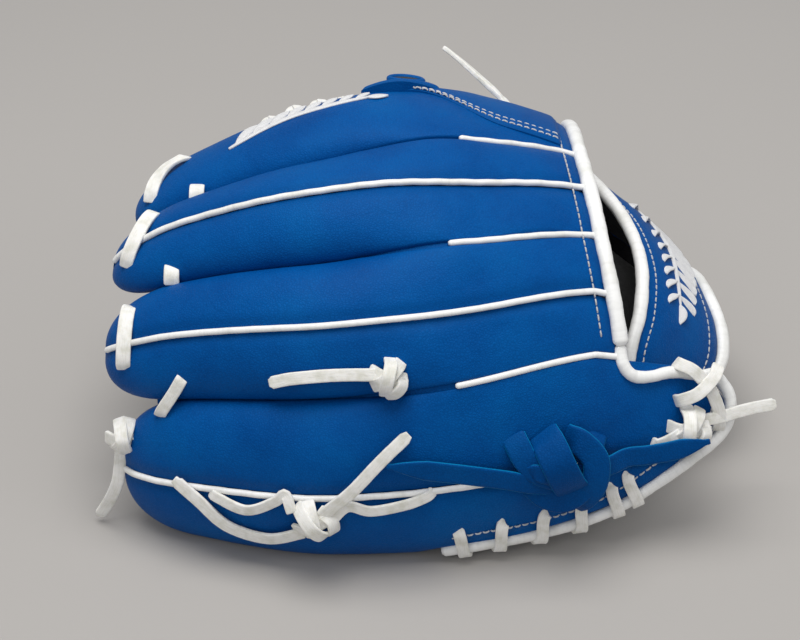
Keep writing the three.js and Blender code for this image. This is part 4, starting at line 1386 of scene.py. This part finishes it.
class GLOVE_OT_knots(bpy.types.Operator):
    """Tie the lace knots and the leather thong"""

    bl_idname = "glove.knots"
    bl_label = "Knots"

    def execute(self, context):
        knot_piece(
            "little_tip_knot_hide", "little_side", 0.034, 71, 2.2, (15, 16, 9), "little_tip_knot", 6.2, 0.4
        )
        knot_piece("ring_side_knot_hide", "hand", 0.445, 58.5, 0.4, (15, 16, 8), "ring_side_knot", 6.0)
        knot_piece(
            "little_side_knot_hide", "little_side", 0.332, 85.5, 1.0, (17, 20, 9), "little_side_knot", 6.2,
            0.9
        )
        knot_piece("heel_knot_hide", "little_side", 0.905, 68, 1.0, (19, 18, 10), "heel_knot", 6.2, 0.2)
        strands = (
            (
                (
                    (0.634, 69.6, -1.6), (0.641, 71.2, 1.5), (0.652, 73.6, 4), (0.672, 75.9, 6),
                    (0.7, 77.2, 7.5)
                ),
                11
            ),
            (((0.652, 77.4, 1), (0.664, 75.8, 6), (0.684, 76, 9), (0.705, 77.6, 7)), 8),
            (
                (
                    (0.664, 79.6, 1.5), (0.684, 81.6, 4.5), (0.71, 82.4, 6.5), (0.733, 80.6, 8),
                    (0.747, 77.6, 8)
                ),
                11
            ),
            (
                (
                    (0.715, 69.4, 1), (0.735, 70, 7), (0.758, 73.2, 10.5), (0.757, 78, 10.5),
                    (0.742, 82, 7.5), (0.728, 84.6, 1.5)
                ),
                12
            ),
            (
                (
                    (0.678, 68.8, 1), (0.688, 70.4, 8), (0.702, 73.8, 12.5), (0.717, 77.6, 11.5),
                    (0.727, 80.2, 6)
                ),
                15
            ),
            (((0.762, 69.6, -1.6), (0.758, 71, 2), (0.752, 73, 5), (0.745, 76, 6)), 9),
        )
        parts, raw = [], []
        for i, (points, width) in enumerate(strands):
            line, ups = on_skin([(u, a, lift + 1.2) for u, a, lift in points], 70)
            parts.append(rings_of(line, ups, width * MM, 2.6 * MM, rough=0.00004, seed=0.1 * i))
            # A wider, thinner ribbon of lighter leather along both sides of each strand: the raw cut edge,
            # partly a painted highlight.
            raw.append(rings_of(line, ups, (width + 0.5) * MM, 1.2 * MM, rough=0.00004, seed=0.1 * i))
        build("thong_knot_raw_edge_highlight", joined(raw), "cut", "little_side")
        build("thong_knot_leather", joined(parts), "thong", "little_side", "thong_knot")
        return {"FINISHED"}


class GLOVE_OT_stitching(bpy.types.Operator):
    """Sew the rows of stitching beside the bindings"""

    bl_idname = "glove.stitching"
    bl_label = "Stitching"

    def row(self, edge, inward):
        u, a = beside(edge, inward)
        return place(u, a, skin(u, a) + 0.05), outwards(a)

    def execute(self, context):
        pitch = settings().stitch_pitch
        thread_piece("back_edge_stitching", "hand", [self.row(back_edge, 4.2)], pitch)
        thread_piece("heel_stitching", "little_side", [self.row(heel_edge, 4.6)], pitch)
        thread_piece("thumb_heel_stitching", "thumb_side", [self.row(thumb_heel, 4.6)], pitch)
        return {"FINISHED"}


class GLOVE_OT_finger_pad(bpy.types.Operator):
    """Sew the pad over the index finger"""

    bl_idname = "glove.finger_pad"
    bl_label = "Finger pad"

    def corner(self, s, t):
        u = mix(0.47, 0.722, s)
        width = smooth(0.44, 0.52, u)
        low = mix(-11.5, -2.5, smooth(0.47, 0.64, u)) - 1
        return u, mix(low, mix(low - 3, index_edge(u) + 2.5, width), t)

    def execute(self, context):
        face = lambda u, a, h: place(u, a, skin(u, a) - 0.6 + h)
        patch_piece("finger_pad_leather", "hand", self.corner, face, 2.6, 110, 50, ["finger_pad"], 0.7, 1.3)
        rows = []
        for inset in (0.06, 0.15):
            s = np.concatenate([np.full(40, 0.03 + inset / 3), np.linspace(0.03 + inset / 3, 0.985, 160)])
            t = np.concatenate([np.linspace(1 - inset, inset, 40), np.full(160, inset)])
            u, a = self.corner(s, t)
            rows.append((place(u, a, skin(u, a) + 2.05), outwards(a)))
        thread_piece("finger_pad_stitching", "hand", rows, settings().stitch_pitch)
        return {"FINISHED"}


class GLOVE_OT_embroidery(bpy.types.Operator):
    """Embroider a leaf sprig on the index finger and on the strap"""

    bl_idname = "glove.embroidery"
    bl_label = "Embroidery"

    def sprig(self, name, spot, length, leaf, sides, stem, body):
        """spot(x, y) gives a point and its outward direction, x along the sprig and y across, in mm."""
        parts = []

        def stroke(x, y, width, high, taper):
            x, y = np.asarray(x, float), np.asarray(y, float)
            line, ups = spot(x, y)
            line = line + ups * (high * MM)
            parts.append(ribbon(line, ups, width * MM, 1.3 * MM, 12, 0.8, 0.3, taper))

        t = np.linspace(0, 1, 60)
        stroke(t * length, 2.2 * np.sin(t * 5.2), stem, 0.35, 0.35 + 0.65 * np.sin(t * math.pi) ** 0.6)
        count = int(length / (leaf * 0.62))
        for i in range(count):
            at = (i + 0.35) / count
            x, y = at * length, 2.2 * math.sin(at * 5.2)
            size = leaf * (1.1 - 0.45 * at)
            for side in sides:
                lean = 0.62 + 0.1 * side
                q = np.linspace(0, 1, 18)
                bow = 0.16 * np.sin(q * math.pi)
                lx = x + size * (q * math.cos(lean) + bow * 0.3)
                ly = y + side * size * (q * math.sin(lean) + bow)
                stroke(lx, ly, size * 0.4, 0.45, np.clip(np.sin(q * math.pi) ** 0.7, 0.12, 1))
        q = np.linspace(0, 1, 18)
        stroke(
            length + leaf * 0.8 * q, 2.2 * math.sin(5.2) + 0 * q, leaf * 0.4, 0.45,
            np.clip(np.sin(q * math.pi) ** 0.7, 0.12, 1)
        )
        build(name, joined(parts), "satin", body)

    def execute(self, context):
        def on_index(x, y):
            u = 0.19 + x / LENGTH
            a = mix(-4.5, -8.0, smooth(0.18, 0.4, u)) - y / (radius_at(u) * DEG)
            return place(u, a, skin(u, a) + 0.1), outwards(a)

        def on_band(x, y):
            a = -32 + x / (88 * DEG)
            u = (strap_reach(a) + strap_outer(a)) / 2 + (y - 1) / LENGTH
            return on_strap(u, a, 1.2), outwards(a)

        self.sprig("index_embroidery", on_index, 66, 12.5, (1,), 4.2, "hand")
        self.sprig("strap_embroidery", on_band, 88, 17, (-1, 1), 3.0, "hand")
        return {"FINISHED"}


class GLOVE_OT_inside(bpy.types.Operator):
    """Line the hand, and finish the pads and the finger loop"""

    bl_idname = "glove.inside"
    bl_label = "Lining and pads"

    def execute(self, context):
        carried("lining", "palm_lining")
        carried("felt", "little_heel_pad", "thumb_heel_pad")
        carried("thong", "little_loop")
        s, t = np.meshgrid(np.linspace(0, 1, 60), np.linspace(0, 1, 70), indexing="ij")
        for name, body, first, last in (
            ("back", "hand", 49.0, -29.0), ("little_back", "little_side", 90.0, 52.0)
        ):
            a = mix(first, last, t)
            end = back_end(a) if body == "hand" else 0.785
            u = mix(0.5, end - 0.006, s)
            outer = place(u, a, skin(u, a) - LEATHER - 1.4)
            inner = place(u, a, skin(u, a) - LEATHER - 2.6)
            piece = shell_mesh(name + "_lining_cloth", outer[:, ::-1], inner[:, ::-1], material("lining"))
            self.attach_lining(piece, body)
        self.lining("thumb_side_lining_cloth", "thumb_side", -38.0, -128.0, 0.6, 0.84, 6.0)
        self.lining("thumb_wrist_lining_cloth", "thumb_side", -84.0, -128.0, 0.8, 0.905, 20.0)
        self.lining("palm_side_lining_cloth", "hand", 46.0, -28.0, 0.55, 0.865, None)
        self.lining("little_side_lining_cloth", "little_side", 92.0, 58.0, 0.55, 0.865, None)
        return {"FINISHED"}

    def attach_lining(self, piece, body):
        attach(piece, body)

    def lining(self, name, body, first, last, start, stop, depth):
        """Cloth inside the back when depth is given, otherwise inside the palm."""
        s, t = np.meshgrid(np.linspace(0, 1, 50), np.linspace(0, 1, 60), indexing="ij")
        a = mix(first, last, t)
        far = stop - 0.08 * smooth(-90, -40, a) if depth == 6.0 else stop
        u = mix(start, far, s)
        height = skin(u, a) - depth if depth else -(palm_depth(u) * MERGE - LEATHER - 0.8)
        flip = slice(None, None, -1)
        outer, inner = place(u, a, height + 0.6), place(u, a, height - 0.6)
        self.attach_lining(shell_mesh(name, outer[:, flip], inner[:, flip], material("lining")), body)


class GLOVE_OT_stage(bpy.types.Operator):
    """Make the floor and the soft studio light"""

    bl_idname = "glove.stage"
    bl_label = "Stage"

    def execute(self, context):
        surface, tree, shader = start_material("studio floor", Roughness=0.75, Specular_IOR_Level=0.2)
        mottle = node(tree, "ShaderNodeTexNoise", Scale=6.0, Detail=6.0)
        grain = node(tree, "ShaderNodeTexNoise", Scale=600.0, Detail=4.0)
        colour = settings().floor_color
        tone = ramp(tree, mottle.outputs["Fac"], (0.3, shade(colour, 0.97)), (0.7, shade(colour, 1.03)))
        wire(tree, tone, shader.inputs["Base Color"])
        wire(tree, bumps(tree, (grain.outputs["Fac"], 0.0002, 0.2)), shader.inputs["Normal"])
        corners = [(-4, -3, 0), (4, -3, 0), (4, 5, 0), (-4, 5, 0)]
        floor = mesh_object("floor", np.array(corners, float), [(0, 1, 2, 3)], surface)
        world = bpy.data.worlds.new("studio")
        world.use_nodes = True
        world.node_tree.nodes["Background"].inputs["Color"].default_value = (0.93, 0.96, 1.0, 1)
        world.node_tree.nodes["Background"].inputs["Strength"].default_value = 0.35
        context.scene.world = world
        lights = (
            ("key", (-0.1, 0.0, 1.5), 1.1, 19.0),
            ("front", (-0.5, -1.5, 1.2), 1.2, 5.0),
            ("right", (1.4, -0.6, 0.9), 0.8, 2.5),
        )
        for name, at, size, power in lights:
            lamp = bpy.data.lights.new(name, "AREA")
            lamp.size = size
            lamp.energy = power
            lamp.color = (1.0, 0.985, 0.96)
            holder = bpy.data.objects.new(name, lamp)
            holder.location = at
            holder.rotation_euler = (Vector((0, 0, 0.05)) - Vector(at)).to_track_quat("-Z", "Y").to_euler()
            context.scene.collection.objects.link(holder)
        context.scene.view_settings.view_transform = "Standard"
        return {"FINISHED"}


OPERATORS = (
    GLOVE_OT_camera,
    GLOVE_OT_loose_ends,
    GLOVE_OT_panels,
    GLOVE_OT_welts,
    GLOVE_OT_creases,
    GLOVE_OT_bindings,
    GLOVE_OT_strap,
    GLOVE_OT_web,
    GLOVE_OT_laces,
    GLOVE_OT_heel_lace,
    GLOVE_OT_knots,
    GLOVE_OT_stitching,
    GLOVE_OT_finger_pad,
    GLOVE_OT_embroidery,
    GLOVE_OT_inside,
    GLOVE_OT_stage,
)


class GLOVE_PT_panel(bpy.types.Panel):
    """Settings and steps of the glove"""

    bl_idname = "GLOVE_PT_panel"
    bl_label = "Fielder's glove"
    bl_space_type = "VIEW_3D"
    bl_region_type = "UI"
    bl_category = "Glove"

    def draw(self, context):
        for name in GloveSettings.__annotations__:
            self.layout.prop(context.scene.glove_settings, name)
        for operator in OPERATORS:
            self.layout.operator(operator.bl_idname)


def register():
    for made in (GloveSettings, *OPERATORS, GLOVE_PT_panel):
        bpy.utils.register_class(made)
    bpy.types.Scene.glove_settings = bpy.props.PointerProperty(type=GloveSettings)


def unregister():
    del bpy.types.Scene.glove_settings
    for made in (GLOVE_PT_panel, *reversed(OPERATORS), GloveSettings):
        bpy.utils.unregister_class(made)


def main():
    register()
    for operator in OPERATORS:
        group, name = operator.bl_idname.split(".")
        getattr(getattr(bpy.ops, group), name)()


if __name__ == "__main__":
    main()
